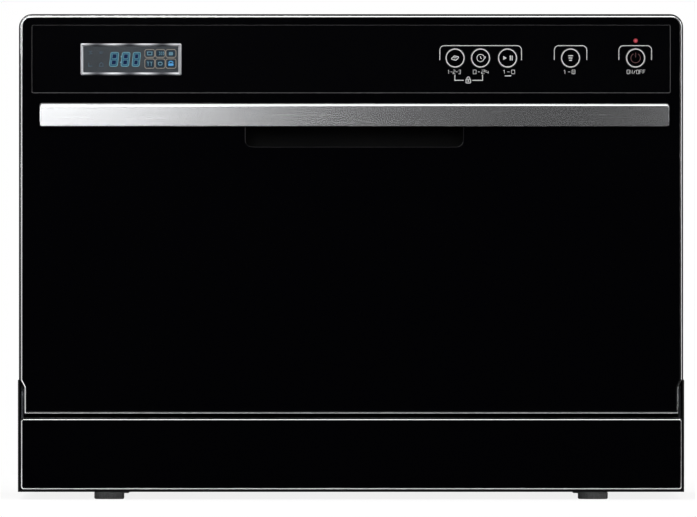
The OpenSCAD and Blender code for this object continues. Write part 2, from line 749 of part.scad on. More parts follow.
module door_inner_liner() color("#b4b7ba") difference() {
    union() {
        slab(inner_y - liner_t, inner_y) door_shape(0.4);
        slab(inner_y - liner_dish - liner_t, inner_y - liner_t / 2) {
            rrect(-dish_x - liner_t, dish_x + liner_t, dish_z0 - liner_t, dish_z1 + liner_t, 20 + liner_t);
        }
    }
    slab(inner_y - liner_dish, inner_y + 1) rrect(-dish_x, dish_x, dish_z0, dish_z1, 20);
    slab(inner_y - liner_dish - 5, inner_y + 1) {
        rrect(disp_x - disp_w / 2 + 3, disp_x + disp_w / 2 - 3, disp_z + 3, disp_z + disp_h - 3, 4);
    }
    box(-9, 9, inner_y - 3, inner_y + 3, latch_z - 4, latch_z + 5);
    for (s = [-1, 1], z = screw_zs) rod_y(s * screw_x, z, screw_r + run_gap, inner_y - 3, inner_y + 1);
}

module console_panel() color("#08080a") difference() {
    union() {
        slab(console_y, face_y + skin_t) {
            rrect(-console_w / 2, console_w / 2, console_z, console_top, 1);
        }
        slab(face_y + skin_t, console_back) {
            rrect(-console_w / 2 - 3, console_w / 2 + 3, console_z - 3, console_top + 3, 3);
        }
    }
    for (x = button_x) rod_y(x, button_z, button_d / 2 + slide_gap, front_y, console_back + 1);
    rod_y(button_x[4], button_z + lamp_up, lamp_d / 2, front_y, console_back + 1);
    slab(front_y, console_back + 1) {
        rrect(display_x - display_w / 2, display_x + display_w / 2, display_z - display_h / 2,
            display_z + display_h / 2, 1);
    }
}

module display_bezel() color("#c8c9ca") slab(console_y - 0.7, console_y + 2) difference() {
    rrect(display_x - display_w / 2, display_x + display_w / 2, display_z - display_h / 2,
        display_z + display_h / 2, 1);
    rrect(display_x - display_w / 2 + bezel_w, display_x + display_w / 2 - bezel_w,
        display_z - display_h / 2 + bezel_w, display_z + display_h / 2 - bezel_w, 0.6);
}

module display_glass() color("#39424a") {
    slab(console_y + 0.6, console_y + 2) {
        rrect(display_x - display_w / 2 + bezel_w, display_x + display_w / 2 - bezel_w,
            display_z - display_h / 2 + bezel_w, display_z + display_h / 2 - bezel_w, 0.6);
    }
    slab(console_y + 2, board_y) {
        rrect(display_x - display_w / 2 + 2, display_x + display_w / 2 - 2, display_z - display_h / 2 + 2,
            display_z + display_h / 2 - 2, 1);
    }
}

module status_lamp() color("#c22b33") {
    rod_y(button_x[4], button_z + lamp_up, lamp_d / 2, console_y - 0.4, board_y);
}

module handle_strip() color("#9c9ea0") slab(front_y, face_y) {
    rrect(handle_x - handle_w / 2, handle_x + handle_w / 2, handle_z0, handle_z1, 2);
}

module grip_pocket() color("#0c0c0d") difference() {
    union() {
        slab(face_y + skin_t, face_y + grip_depth + grip_t) {
            rrect(handle_x - grip_w / 2 - grip_t, handle_x + grip_w / 2 + grip_t, grip_z0 - grip_t,
                grip_z1 + grip_t, 6 + grip_t);
        }
        slab(face_y + skin_t, face_y + skin_t + grip_t) {
            rrect(handle_x - grip_w / 2 - grip_rim, handle_x + grip_w / 2 + grip_rim, grip_z0 - grip_rim,
                grip_z1 + 3, 4);
        }
    }
    slab(face_y, face_y + grip_depth) {
        rrect(handle_x - grip_w / 2, handle_x + grip_w / 2, grip_z0, grip_z1, 6);
    }
}

module control_board() color("#1f5a3a") {
    x0 = 20 - console_w / 2;
    x1 = console_w / 2 - 8;
    box(x0, x1, board_y, board_y + 1.6, console_z + 4, console_top - 4);
    for (x = button_x) box(x - 3, x + 3, board_y - 3.4, board_y, button_z - 3, button_z + 3);
    for (i = [0:3], z = [console_z + 8, console_top - 8]) {
        rod_y(x0 + (x1 - x0) * (0.19 + 0.26 * i), z, 2.4, console_back, board_y);
    }
}

module dispenser_body() color("#8b8e92") difference() {
    union() {
        slab(disp_y - 1.5, disp_y) {
            rrect(disp_x - disp_w / 2, disp_x + disp_w / 2, disp_z, disp_z + disp_h, 6);
        }
        slab(disp_y - 26, disp_y - 1) {
            rrect(disp_x - disp_w / 2 + 3.2, disp_x + disp_w / 2 - 3.2, disp_z + 3.2,
                disp_z + disp_h - 3.2, 4);
        }
        // Rails that hold the sliding lid
        for (z = [deter_z0 - 5.4, deter_z1 + 3.4]) {
            box(disp_x - disp_w / 2 + 8, disp_x - disp_w / 2 + 16 + 2 * deter_w + 8, disp_y - 0.5,
                inner_y - 0.6, z, z + 2);
        }
    }
    box(deter_x, deter_x + deter_w, disp_y - deter_depth, disp_y + 1, deter_z0, deter_z1);
    rod_y(rinse_x, rinse_z, rinse_r - 4, disp_y - 14, disp_y + 1);
}

module dispenser_lid() color("#a7aaad") {
    box(deter_x - 3, deter_x + deter_w + 1, disp_y + slide_gap, disp_y + 2.2, deter_z0 - 3, deter_z1 + 3);
    box(deter_x + 3, deter_x + 8, disp_y + 2.2, inner_y - 0.5, deter_z0 + 8, deter_z1 - 8);
}

module rinse_aid_cap() color("#55585c") {
    rod_y(rinse_x, rinse_z, rinse_r, disp_y + slide_gap, disp_y + 2.4);
    rod_y(rinse_x, rinse_z, rinse_r - 4 - run_gap, disp_y - 10, disp_y + slide_gap);
    box(rinse_x - rinse_r + 3, rinse_x + rinse_r - 3, disp_y + 2.4, inner_y - 0.6, rinse_z - 2, rinse_z + 2);
}

module hinge_arms() color("#6d7074") both_sides() {
    x1 = washer_x - frame_t;
    side_slab(x1 - plate_t, x1) {
        translate([hinge_y, hinge_z]) circle(eye_r);
        polygon([[hinge_y - eye_r, hinge_z], [hinge_y + eye_r, hinge_z],
            [hinge_y + eye_r + 6, hinge_z + arm_rise], [hinge_y + 4 - eye_r, hinge_z + arm_rise]]);
    }
    rod_x(hinge_y, hinge_z, pin_r, x1 - 1, rib_x + plate_t);
    rod_x(hinge_y, hinge_z, pin_r * 2, washer_x, rib_x - run_gap);
}

module door_screws() color("#b0b3b6") {
    for (s = [-1, 1], z = screw_zs) {
        rod_y(s * screw_x, z, 3, inner_y, inner_y + 0.8);
        rod_y(s * screw_x, z, screw_r, inner_y - 8, inner_y);
    }
}

module latch_hook() color("#d9dadb") {
    box(-6, 6, latch_y - 3, cab_y + 18, latch_z - 1, latch_z + 3);
    box(-6, 6, cab_y + 10, cab_y + 18, latch_z - 3.4, latch_z);
    rod_x(latch_y, latch_z + 1, latch_pin_r, -12, 12);
}

// Ears on the back of the inner liner that carry the latch hook's pivot
module latch_housing() color("#2c2d2f") difference() {
    union() {
        both_sides() box(8, 11.5, latch_y - 6, inner_y - liner_t, latch_z - 5, latch_z + 7);
        box(-16, 16, inner_y - liner_t - 1.5, inner_y - liner_t, latch_z - 5, latch_z + 7);
    }
    box(-8, 8, inner_y - 5, inner_y, latch_z - 3.4, latch_z + 5.4);
    rod_x(latch_y, latch_z + 1, latch_pin_r + run_gap, -20, 20);
}

// A cap with a chamfered edge on a stem that reaches the switch behind it
module push_button(i) color("#0a0a0b") translate([button_x[i], 0, button_z]) {
    cap_y = console_y - 0.2;
    translate([0, cap_y + 0.5, 0]) rotate([-90, 0, 0]) cylinder(3.2, button_d / 2, button_d / 2);
    translate([0, cap_y, 0]) rotate([-90, 0, 0]) cylinder(0.5, button_d / 2 - 0.5, button_d / 2);
    rod_y(0, 0, 2.5, cap_y + 3, board_y - 3.4 - button_travel - 0.1);
}

module tablet_button() push_button(0);

module delay_button() push_button(1);

module start_button() push_button(2);

module programme_button() push_button(3);

module power_button() push_button(4);

// ---- Rack ----

// A floor of crossing wires and four upright sides of the same wires
module rack_basket() color("#7f8990") {
    z0 = rack_z + wire + seam;
    z1 = rack_z + rack_h;
    translate([0, 0, rack_z]) linear_extrude(wire) {
        wire_grid(-rack_x, rack_x, rack_y0, rack_y1, rack_nx, rack_ny);
    }
    for (y = [rack_y0, rack_y1 - wire]) {
        slab(y, y + wire) wire_grid(-rack_x, rack_x, z0, z1, rack_nx, 3);
    }
    for (x = [-rack_x, rack_x - wire]) {
        side_slab(x, x + wire) {
            wire_grid(rack_y0 + wire + seam, rack_y1 - wire - seam, z0, z1, rack_ny, 3);
        }
    }
}

module rack_tines() color("#7f8990") for (row = tine_rows, i = [1:1:tine_cols]) {
    rod_z(-rack_x + (2 * rack_x - wire) * i / rack_nx + wire / 2, row, wire / 2 - 0.15, rack_z + wire,
        rack_z + wire + tine_h);
}

// Wheel brackets with their axles, and the two clips of the cup shelf
module rack_brackets() color("#7f8990") {
    both_sides() for (y = [wheel_y0, wheel_y1]) {
        side_slab(rack_x - wire, rack_x) {
            polygon([[y - 7, wheel_z], [y + 7, wheel_z], [y + 12, rack_z], [y - 12, rack_z]]);
        }
        rod_x(y, wheel_z, 7, rack_x - wire, rack_x);
        rod_x(y, wheel_z, 3, rack_x - 1, rack_x + wheel_w + 4);
        rod_x(y, wheel_z, 5, rack_x + wheel_w + 3.4, rack_x + wheel_w + 5);
    }
    difference() {
        for (y = shelf_clips) {
            rod_y(shelf_x, shelf_z, clip_r, y, y + 6);
            box(wire - rack_x, shelf_x, y, y + 6, shelf_z - 1.2, shelf_z + 1.2);
        }
        rod_y(shelf_x, shelf_z, 2 + run_gap, shelf_clips[0] - 1, shelf_clips[1] + 7);
    }
}

module cup_shelf() color("#8b959c") {
    y0 = rack_mid - shelf_len / 2;
    y1 = rack_mid + shelf_len / 2;
    rod_y(shelf_x, shelf_z, 2, shelf_clips[0] - 4, shelf_clips[1] + 10);
    translate([0, 0, shelf_z - 2]) linear_extrude(3) {
        wire_grid(shelf_x + 7, shelf_x + shelf_w, y0, y1, 3, 8);
        for (y = [y0 + 18, rack_mid, y1 - 18]) translate([shelf_x, y - 4]) square([8, 8]);
    }
}

// A floor, four barred sides, a wall across the middle and the handle on top of it
module cutlery_basket() color("#6c757b") {
    bar = 2.4;
    x1 = rack_x - wire - 3;
    x0 = x1 - cutlery_w;
    y0 = rack_y0 + wire + 10;
    y1 = y0 + cutlery_len;
    mid0 = (y0 + y1 - bar) / 2;
    mid1 = mid0 + bar;
    z0 = rack_z + wire;
    z1 = z0 + cutlery_h;
    side_z = z0 + bar + seam;
    hand_z0 = z1 - 22;
    hand_z1 = z1 - 6;
    translate([0, 0, z0]) linear_extrude(bar) wire_grid(x0, x1, y0, y1, 5, 9);
    for (x = [x0, x1 - bar]) side_slab(x, x + bar) wire_grid(y0, y1, side_z, z1 - 10, 8, 5);
    for (y = [y0, y1 - bar]) {
        slab(y, y + bar) wire_grid(x0 + bar + seam, x1 - bar - seam, side_z, z1 - 10, 4, 5);
    }
    box(x0 + bar + seam, x1 - bar - seam, mid0, mid1, side_z, hand_z0);
    for (x = [x0 + bar + seam, x1 - 16]) {
        box(x, x + 16 - bar - seam, mid0, mid1, hand_z0 + seam, hand_z1 - seam);
    }
    slab(mid0, mid1) rrect(x0 + bar + seam, x1 - bar - seam, hand_z1, z1, 2.8);
}

module rack_wheels(y) color("#c6cacd") both_sides() difference() {
    union() {
        rod_x(y, wheel_z, wheel_r, rack_x + slide_gap + 2, rack_x + 3 + wheel_w);
        rod_x(y, wheel_z, 6, rack_x + slide_gap, rack_x + slide_gap + 3);
    }
    rod_x(y, wheel_z, 3 + run_gap, rack_x - 1, rack_x + wheel_w + 6);
    for (a = [0:72:288]) {
        translate([0, y, wheel_z]) rotate([a, 0, 0])
            rod_x(0, wheel_r * 0.6, 2, rack_x + slide_gap + 1, rack_x + wheel_w + 6);
    }
}

module front_rack_wheels() rack_wheels(wheel_y0);

module rear_rack_wheels() rack_wheels(wheel_y1);

// Places shared by more than one piece
latch_z = roof_z + tub_t + 5.2;
latch_y = inner_y - 14;
latch_pin_r = 2.5;
float_x = -60;
post_x = tub_x - 70;
screw_x = door_x - 9;
screw_r = 1.6;
screw_zs = [hinge_z + 24, (hinge_z + door_top) / 2, door_top - 24];
float_y = cab_y + 58;
float_z0 = tray_z + 0.4;
float_z1 = float_z0 + float_h;
float_z2 = float_z1 + float_stem;
switch_z = float_z2 + float_lift;
sump_z = tray_z + 12;
pump_z = tray_z + pump_r + 2;
pump_y0 = filter_y + filter_r + 30;
feed_z = pump_z + 20;
drain_z = tray_z + drain_pump_r + 6;
drain_x0 = filter_x + filter_r + 6;
dish_x = tub_x - 38;
dish_z0 = hinge_z + dish_rise;
dish_z1 = roof_z - 18;
disp_x = 20;
disp_y = inner_y - 4;
deter_x = disp_x - disp_w / 2 + 14;
deter_z0 = disp_z + (disp_h - deter_h) / 2;
deter_z1 = deter_z0 + deter_h;
rinse_x = disp_x + disp_w / 2 - 5 - rinse_r - 3;
rinse_z = disp_z + disp_h / 2;
board_y = console_back + 6;
rack_y0 = inner_y + rack_front;
rack_y1 = tub_back_y - rack_back;
rack_mid = (rack_y0 + rack_y1) / 2;
wheel_y0 = rack_y0 + wheel_in;
wheel_y1 = rack_y1 - wheel_in;
rack_nx = round(2 * rack_x / wire_pitch);
rack_ny = round((rack_y1 - rack_y0) / wire_pitch);
tine_cols = floor((2 * rack_x - cutlery_w - 30) / wire_pitch);
tine_rows = [rack_y0 + 62, rack_y0 + 118, rack_mid + 24, rack_mid + 80, rack_y1 - 40];
clip_r = 4.1;
shelf_x = -rack_x + wire + clip_r + 0.1;
shelf_z = rack_z + rack_h - wire / 2;
shelf_clips = [rack_mid - shelf_len / 2 - 14, rack_mid + shelf_len / 2 + 8];

outer_wrap();
rear_panel();
base_tray();
plinth_panel();
plinth_edge_trim();
hinge_covers();
tub();
tub_gasket();
rack_runners();
latch_strike();
sump();
filter_plate();
spray_hub();
salt_reservoir();
circulation_pump();
drain_pump();
inlet_valve();
drain_outlet();
terminal_box();
internal_hoses();
float_switch();
hinge_brackets();
cabinet_screws();
rear_feet();
front_foot_left();
front_foot_right();
filter_cup();
salt_cap();
spray_arm();
leak_float();
door_outer_panel();
door_edge_trim();
door_frame();
door_inner_liner();
console_panel();
display_bezel();
display_glass();
status_lamp();
handle_strip();
grip_pocket();
control_board();
dispenser_body();
hinge_arms();
door_screws();
latch_housing();
latch_hook();
dispenser_lid();
rinse_aid_cap();
tablet_button();
delay_button();
start_button();
programme_button();
power_button();
rack_basket();
rack_tines();
rack_brackets();
cup_shelf();
cutlery_basket();
front_rack_wheels();
rear_rack_wheels();
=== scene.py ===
import math

import bmesh
import bpy
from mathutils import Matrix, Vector


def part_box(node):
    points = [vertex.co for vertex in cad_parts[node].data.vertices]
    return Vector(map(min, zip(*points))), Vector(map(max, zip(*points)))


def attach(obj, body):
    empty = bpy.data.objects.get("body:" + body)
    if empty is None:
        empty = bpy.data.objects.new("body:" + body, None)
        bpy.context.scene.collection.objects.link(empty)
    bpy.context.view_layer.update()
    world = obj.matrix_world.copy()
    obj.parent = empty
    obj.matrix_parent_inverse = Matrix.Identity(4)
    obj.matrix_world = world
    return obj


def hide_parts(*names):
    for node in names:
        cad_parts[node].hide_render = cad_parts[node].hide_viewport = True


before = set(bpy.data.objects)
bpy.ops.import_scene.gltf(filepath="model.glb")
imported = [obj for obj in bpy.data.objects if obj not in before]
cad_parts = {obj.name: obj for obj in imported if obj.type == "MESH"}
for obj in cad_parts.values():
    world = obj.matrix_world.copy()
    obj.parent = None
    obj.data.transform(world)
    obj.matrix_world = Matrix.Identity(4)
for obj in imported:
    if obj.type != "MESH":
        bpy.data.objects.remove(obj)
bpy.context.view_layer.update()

bl_info = {
    "name": "Countertop Dishwasher",
    "version": (1, 0, 0),
    "blender": (4, 5, 0),
    "location": "3D View > Sidebar > Dishwasher",
    "description": "Finishes and detailed pieces for the countertop dishwasher's solids",
    "category": "Object",
}

MM = 0.001

# The photograph's frame, with the front of the machine straight on
PHOTO_WIDTH = 697
PIXEL = 0.8255 * MM
FRAME_MIDDLE_X = -2.1 * MM
FRAME_MIDDLE_Z = 198.9 * MM


# ---- Nodes ----

# Size of the slow patches in which a finish's roughness drifts
DRIFT = 70 * MM
# Part of a noise's range that its values mostly keep to
NOISE_LOW, NOISE_HIGH = 0.3, 0.7


def to_linear(code):
    """An sRGB hex colour as the linear RGBA that the shaders take."""
    channels = [int(code[i:i + 2], 16) / 255 for i in (0, 2, 4)]
    return (*(c / 12.92 if c <= 0.04045 else ((c + 0.055) / 1.055) ** 2.4 for c in channels), 1.0)


def rgba(colour):
    """Linear RGBA of a hex colour, or of a colour setting, which is linear already."""
    return to_linear(colour) if isinstance(colour, str) else (*colour[:3], 1.0)


def add(tree, kind, links=None, **settings):
    """Adds a node. links gives each input socket a value, or another node's socket to follow."""
    node = tree.nodes.new("ShaderNode" + kind)
    for key, value in settings.items():
        setattr(node, key, value)
    for key, value in (links or {}).items():
        if isinstance(value, bpy.types.NodeSocket):
            tree.links.new(value, node.inputs[key])
        else:
            node.inputs[key].default_value = value
    return node


def texture(tree, kind, size, inputs=None, **settings):
    """A texture drawn at that size on the object's own coordinates."""
    place = add(tree, "TexCoord").outputs["Object"]
    return add(tree, "Tex" + kind, {"Vector": place, "Scale": 1 / size, **(inputs or {})}, **settings).outputs


def spread(tree, value, start, end, low, high, **settings):
    """Maps the range of a value from start to end on to low to high."""
    ranges = {"Value": value, "From Min": start, "From Max": end, "To Min": low, "To Max": high}
    return add(tree, "MapRange", ranges, **settings).outputs[0]


def eased(tree, *ranges):
    """As spread, easing in and out."""
    return spread(tree, *ranges, interpolation_type="SMOOTHSTEP")


def maths(tree, operation, first, second):
    return add(tree, "Math", {0: first, 1: second}, operation=operation).outputs[0]


def tint(tree, shader, share, dark, light, socket="Base Color"):
    """Colours the shader from dark to light by a share."""
    tone = add(tree, "Mix", {0: share, 6: rgba(dark), 7: rgba(light)}, data_type="RGBA")
    tree.links.new(tone.outputs[2], shader.inputs[socket])


def emboss(tree, shader, height, depth, **settings):
    """Bumps as deep as depth, where height is 0 to 1."""
    relief = add(tree, "Bump", {"Height": height, "Distance": depth}, **settings)
    tree.links.new(relief.outputs[0], shader.inputs["Normal"])


def start_finish(name, colour, roughness, **sockets):
    """A new material with the main shader, and its constants set on the shader's own sockets."""
    material = bpy.data.materials.new(name)
    material.use_nodes = True
    tree = material.node_tree
    tree.nodes.clear()
    shader = add(tree, "BsdfPrincipled", {"Base Color": rgba(colour), "Roughness": roughness})
    for key, value in sockets.items():
        shader.inputs[key.replace("_", " ")].default_value = value
    add(tree, "OutputMaterial", {"Surface": shader.outputs[0]})
    material.diffuse_color = rgba(colour)
    return tree, shader


def pebbled(name, colour, roughness, pebbles, rough, mottle=None, **sockets):
    """A finish of small random bumps, whose size and height are given in mm. Its roughness drifts
    within rough, and its colour too where there is a mottle of two colours."""
    tree, shader = start_finish(name, colour, roughness, **sockets)
    size, height = pebbles
    bumps = texture(tree, "Noise", size * MM, {"Detail": 2.0})
    drift = texture(tree, "Noise", DRIFT, {"Detail": 4.0, "Roughness": 0.6})["Fac"]
    tree.links.new(spread(tree, drift, NOISE_LOW, NOISE_HIGH, *rough), shader.inputs["Roughness"])
    emboss(tree, shader, bumps["Fac"], height * MM)
    if mottle:
        tint(tree, shader, drift, *mottle)
    return tree, shader


def brushed(name, colour, dark, roughness, stretch, height, rough, **sockets):
    """A metal with straight scratches. stretch is a scratch's size along X, Y and Z, in mm."""
    tree, shader = start_finish(name, colour, roughness, Metallic=1.0, **sockets)
    place = add(tree, "TexCoord").outputs["Object"]
    drawn = add(tree, "Mapping", {"Vector": place, "Scale": [1 / (s * MM) for s in stretch]})
    lines = add(tree, "TexNoise", {"Vector": drawn.outputs[0], "Scale": 1.0, "Detail": 5.0,
                                   "Roughness": 0.7}).outputs["Fac"]
    tree.links.new(spread(tree, lines, NOISE_LOW, NOISE_HIGH, *rough), shader.inputs["Roughness"])
    tint(tree, shader, lines, dark, colour)
    emboss(tree, shader, lines, height * MM)


# ---- Mesh ----

# Two edges that meet at more than this have a corner to round
CORNER = math.radians(40)
# Least radius of a drawn corner, which keeps its points apart
LEAST_RADIUS = 0.02 * MM


def new_piece(name, bm, finish, body, slot, replaces=(), radius=0.0, smooth=35):
    """Makes the mesh work an object with its finish, riding on a body of the frame."""
    bmesh.ops.recalc_face_normals(bm, faces=bm.faces)
    mesh = bpy.data.meshes.new(name)
    bm.to_mesh(mesh)
    bm.free()
    mesh.shade_smooth()
    mesh.set_sharp_from_angle(angle=math.radians(smooth))
    mesh.materials.append(bpy.data.materials[finish])
    obj = bpy.data.objects.new(name, mesh)
    bpy.context.scene.collection.objects.link(obj)
    if radius:
        round_edges(obj, radius)
    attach(obj, body)
    if replaces:
        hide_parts(*replaces)


def skinned(name, loops, *place, caps=False, **look):
    """A piece skinned over loops of points, either with an end on each side or closed in a ring."""
    bm = bmesh.new()
    skin(bm, loops, closed=not caps, caps=caps)
    new_piece(name, bm, *place, **look)


def round_edges(obj, radius):
    """A small radius on every sharp edge, which catches the light as a real edge does."""
    edge = obj.modifiers.new("Edge radius", "BEVEL")
    edge.width = radius
    edge.segments = 2
    edge.limit_method = "ANGLE"
    edge.angle_limit = CORNER
    edge.use_clamp_overlap = True
    edge.harden_normals = True


def dress(*rows):
    """Gives solids of the frame their finish. A row is a finish, an edge radius in mm, and the nodes."""
    for finish, radius, *nodes in rows:
        for node in nodes:
            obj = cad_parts[node]
            obj.data.materials.clear()
            obj.data.materials.append(bpy.data.materials[finish])
            if radius:
                join = obj.modifiers.new("Join corners", "WELD")
                join.merge_threshold = 0.01 * MM
                round_edges(obj, radius * MM)


def skin(bm, loops, closed=False, caps=False):
    """Skins closed loops of points, each to the next. They all have the same number of points."""
    rows = [[bm.verts.new(p) for p in loop] for loop in loops]
    pairs = list(zip(rows, rows[1:]))
    if closed:
        pairs.append((rows[-1], rows[0]))
    for a, b in pairs:
        for i in range(len(a)):
            j = (i + 1) % len(a)
            bm.faces.new((a[i], a[j], b[j], b[i]))
    if caps:
        bm.faces.new(rows[0])
        bm.faces.new(rows[-1][::-1])


def mm(*rows):
    """Rows of numbers given in mm, in metres."""
    return [[value * MM for value in row] for row in rows]


def arc(cx, cz, r, start, end, steps):
    """Points on a circle in X and Z, between two angles in degrees."""
    angles = [math.radians(start + (end - start) * i / steps) for i in range(steps + 1)]
    return [(cx + r * math.cos(a), cz + r * math.sin(a)) for a in angles]


def rect(x0, x1, z0, z1, r, steps=6, low_r=None):
    """A rectangle with round corners, as points in X and Z. low_r is for the two lower corners."""
    r = max(r, LEAST_RADIUS)
    q = r if low_r is None else max(low_r, LEAST_RADIUS)
    return (arc(x1 - r, z1 - r, r, 0, 90, steps) + arc(x0 + r, z1 - r, r, 90, 180, steps)
            + arc(x0 + q, z0 + q, q, 180, 270, steps) + arc(x1 - q, z0 + q, q, 270, 360, steps))


def at(points, y):
    """Points of X and Z, set at one depth."""
    return [Vector((x, y, z)) for x, z in points]


def around(path, i, closed):
    """The points of a path before and after one of them, which at an open end is that point itself."""
    before = path[i - 1] if closed or i else path[i]
    after = path[(i + 1) % len(path)] if closed or i < len(path) - 1 else path[i]
    return before, after


class Pen:
    """Draws flat lines and shapes in mm round a point of X and Z, as thick as from y0 back to y1."""

    def __init__(self, bm, y0, y1, x=0.0, z=0.0):
        self.bm, self.y0, self.y1, self.x, self.z = bm, y0, y1, x, z

    def placed(self, points):
        return [((self.x + x) * MM, (self.z + z) * MM) for x, z in points]

    def plate(self, points):
        points = self.placed(points)
        skin(self.bm, [at(points, self.y0), at(points, self.y1)], caps=True)

    def line(self, points, width, closed=False):
        """A line of that width, as wide at its bends, down to bends of 60 degrees."""
        path = [Vector(p) for p in self.placed(points)]
        y0, y1 = self.y0, self.y1
        rows = []
        for i, here in enumerate(path):
            before, after = around(path, i, closed)
            first = ((here - before) if i or closed else (after - here)).normalized()
            second = ((after - here) if closed or i < len(path) - 1 else (here - before)).normalized()
            mean = (first + second).normalized()
            side = Vector((-mean.y, mean.x)) * (width * MM / 2 / max(0.5, mean.dot(first)))
            a, b = here + side, here - side
            rows.append([(a.x, y0, a.y), (b.x, y0, b.y), (b.x, y1, b.y), (a.x, y1, a.y)])
        skin(self.bm, rows, closed=closed, caps=not closed)


# How far a wire's domed end reaches past its last point and how wide it is, as shares of the radius
DOME = ((0.5, 0.87), (0.85, 0.5))


def wire(bm, points, radius, sides=8, closed=False):
    """A round wire along points, with domed ends where it is open."""
    path = [Vector(p) for p in points]
    angles = [2 * math.pi * k / sides for k in range(sides)]
    loops, rings, normal = [], [], None
    for i, here in enumerate(path):
        before, after = around(path, i, closed)
        along = (after - before).normalized()
        normal = along.orthogonal() if normal is None else normal - along * normal.dot(along)
        normal.normalize()
        cross = along.cross(normal)
        ring = [normal * math.cos(a) + cross * math.sin(a) for a in angles]
        loops.append([here + v * radius for v in ring])
        rings.append((here, along, ring))
    if not closed:
        for reach, share in DOME:
            for end, (here, along, ring) in ((-1, rings[0]), (1, rings[-1])):
                dome = [here + along * (end * radius * reach) + v * (radius * share) for v in ring]
                loops.insert(0 if end < 0 else len(loops), dome)
    skin(bm, loops, closed=closed, caps=not closed)


def bent(points, r, steps=4):
    """Points with each inner corner bent to a radius, as a wire is."""
    path = [Vector(p) for p in points]
    out = [path[0]]
    for before, here, after in zip(path, path[1:], path[2:]):
        start, end = here + (before - here).normalized() * r, here + (after - here).normalized() * r
        for i in range(steps + 1):
            t = i / steps
            out.append((1 - t) ** 2 * start + 2 * t * (1 - t) * here + t ** 2 * end)
    return out + [path[-1]]


def turned(bm, profile, centre, axis, sides=48, teeth=0, closed=False):
    """Turns (radius, distance) round an axis through centre. A third number is the depth of its teeth."""
    turn = "XYZ".index(axis)
    along, across, up = (Vector([float(k == (turn + n) % 3) for k in range(3)]) for n in range(3))
    loops = []
    for radius, distance, *tooth in profile:
        loop = []
        for i in range(sides):
            a = 2 * math.pi * i / sides
            r = radius - (tooth[0] * (0.5 - 0.5 * math.cos(teeth * a)) if tooth else 0.0)
            loop.append(Vector(centre) + along * distance + (across * math.cos(a) + up * math.sin(a)) * r)
        loops.append(loop)
    skin(bm, loops, closed=closed, caps=not closed)


# ---- Sizes and colours that a user may change ----


def colour_choice(name, description, code):
    """A colour setting, from its sRGB hex value."""
    return bpy.props.FloatVectorProperty(
        name=name, description=description, subtype="COLOR", size=3, min=0, max=1,
        default=to_linear(code)[:3])


def length_choice(name, description, default, least, most):
    """A length setting, from its values in mm."""
    return bpy.props.FloatProperty(
        name=name, description=description, default=default * MM, min=least * MM, max=most * MM,
        precision=5, subtype="DISTANCE", unit="LENGTH")


class DishwasherColours(bpy.types.PropertyGroup):
    cabinet: colour_choice("Cabinet", "Colour of the powder coat on the cabinet", "060607")
    door: colour_choice("Door", "Colour of the gloss door, plinth and buttons", "020203")
    trim: colour_choice("Trim", "Colour of the bright trim", "f2f3f4")
    strip: colour_choice("Handle strip", "Colour of the brushed handle strip", "c9cacc")
    steel: colour_choice("Stainless steel", "Colour of the tub and the inner door", "c3c4c5")
    glass: colour_choice("Display", "Colour of the display when it is dark", "31363b")
    segment: colour_choice("Lit segment", "Colour of the display's lit outlines", "86bccb")
    lamp: colour_choice("Status lamp", "Colour of the status lamp", "e4606c")
    ink: colour_choice("Printing", "Colour of the printed rings and marks", "a8a8a8")
    rack: colour_choice("Rack", "Colour of the nylon coat on the rack's wires", "6f7c87")


class DishwasherSizes(bpy.types.PropertyGroup):
    edge: length_choice("Edge radius", "Radius on the edges of moulded and sheet parts", 0.4, 0, 2)
    ink: length_choice("Printing height", "Thickness of the printed marks", 0.12, 0.02, 0.3)
    ring: length_choice("Ring width", "Width of the printed ring on a button", 0.95, 0.4, 1.6)
    coat: length_choice("Wire radius", "Radius of a coated wire of the rack", 1.6, 1, 1.6)
    pitch: length_choice("Thread pitch", "Distance between the crests of the inlet's thread", 1.81, 1, 3)


class DishwasherStudio(bpy.types.PropertyGroup):
    level: bpy.props.FloatProperty(
        name="Light level", description="Strength of the lamps, where 1 shows a colour as it is written",
        default=1.0, min=0, max=4)
    surround: bpy.props.FloatProperty(
        name="Surround", description="Share of the light that comes evenly from the room",
        default=0.42, min=0, max=1, subtype="FACTOR")
    distance: bpy.props.FloatProperty(
        name="Camera distance", description="Distance of the camera from the door",
        default=16.0, min=2, max=18, unit="LENGTH")


# ---- Finishes ----


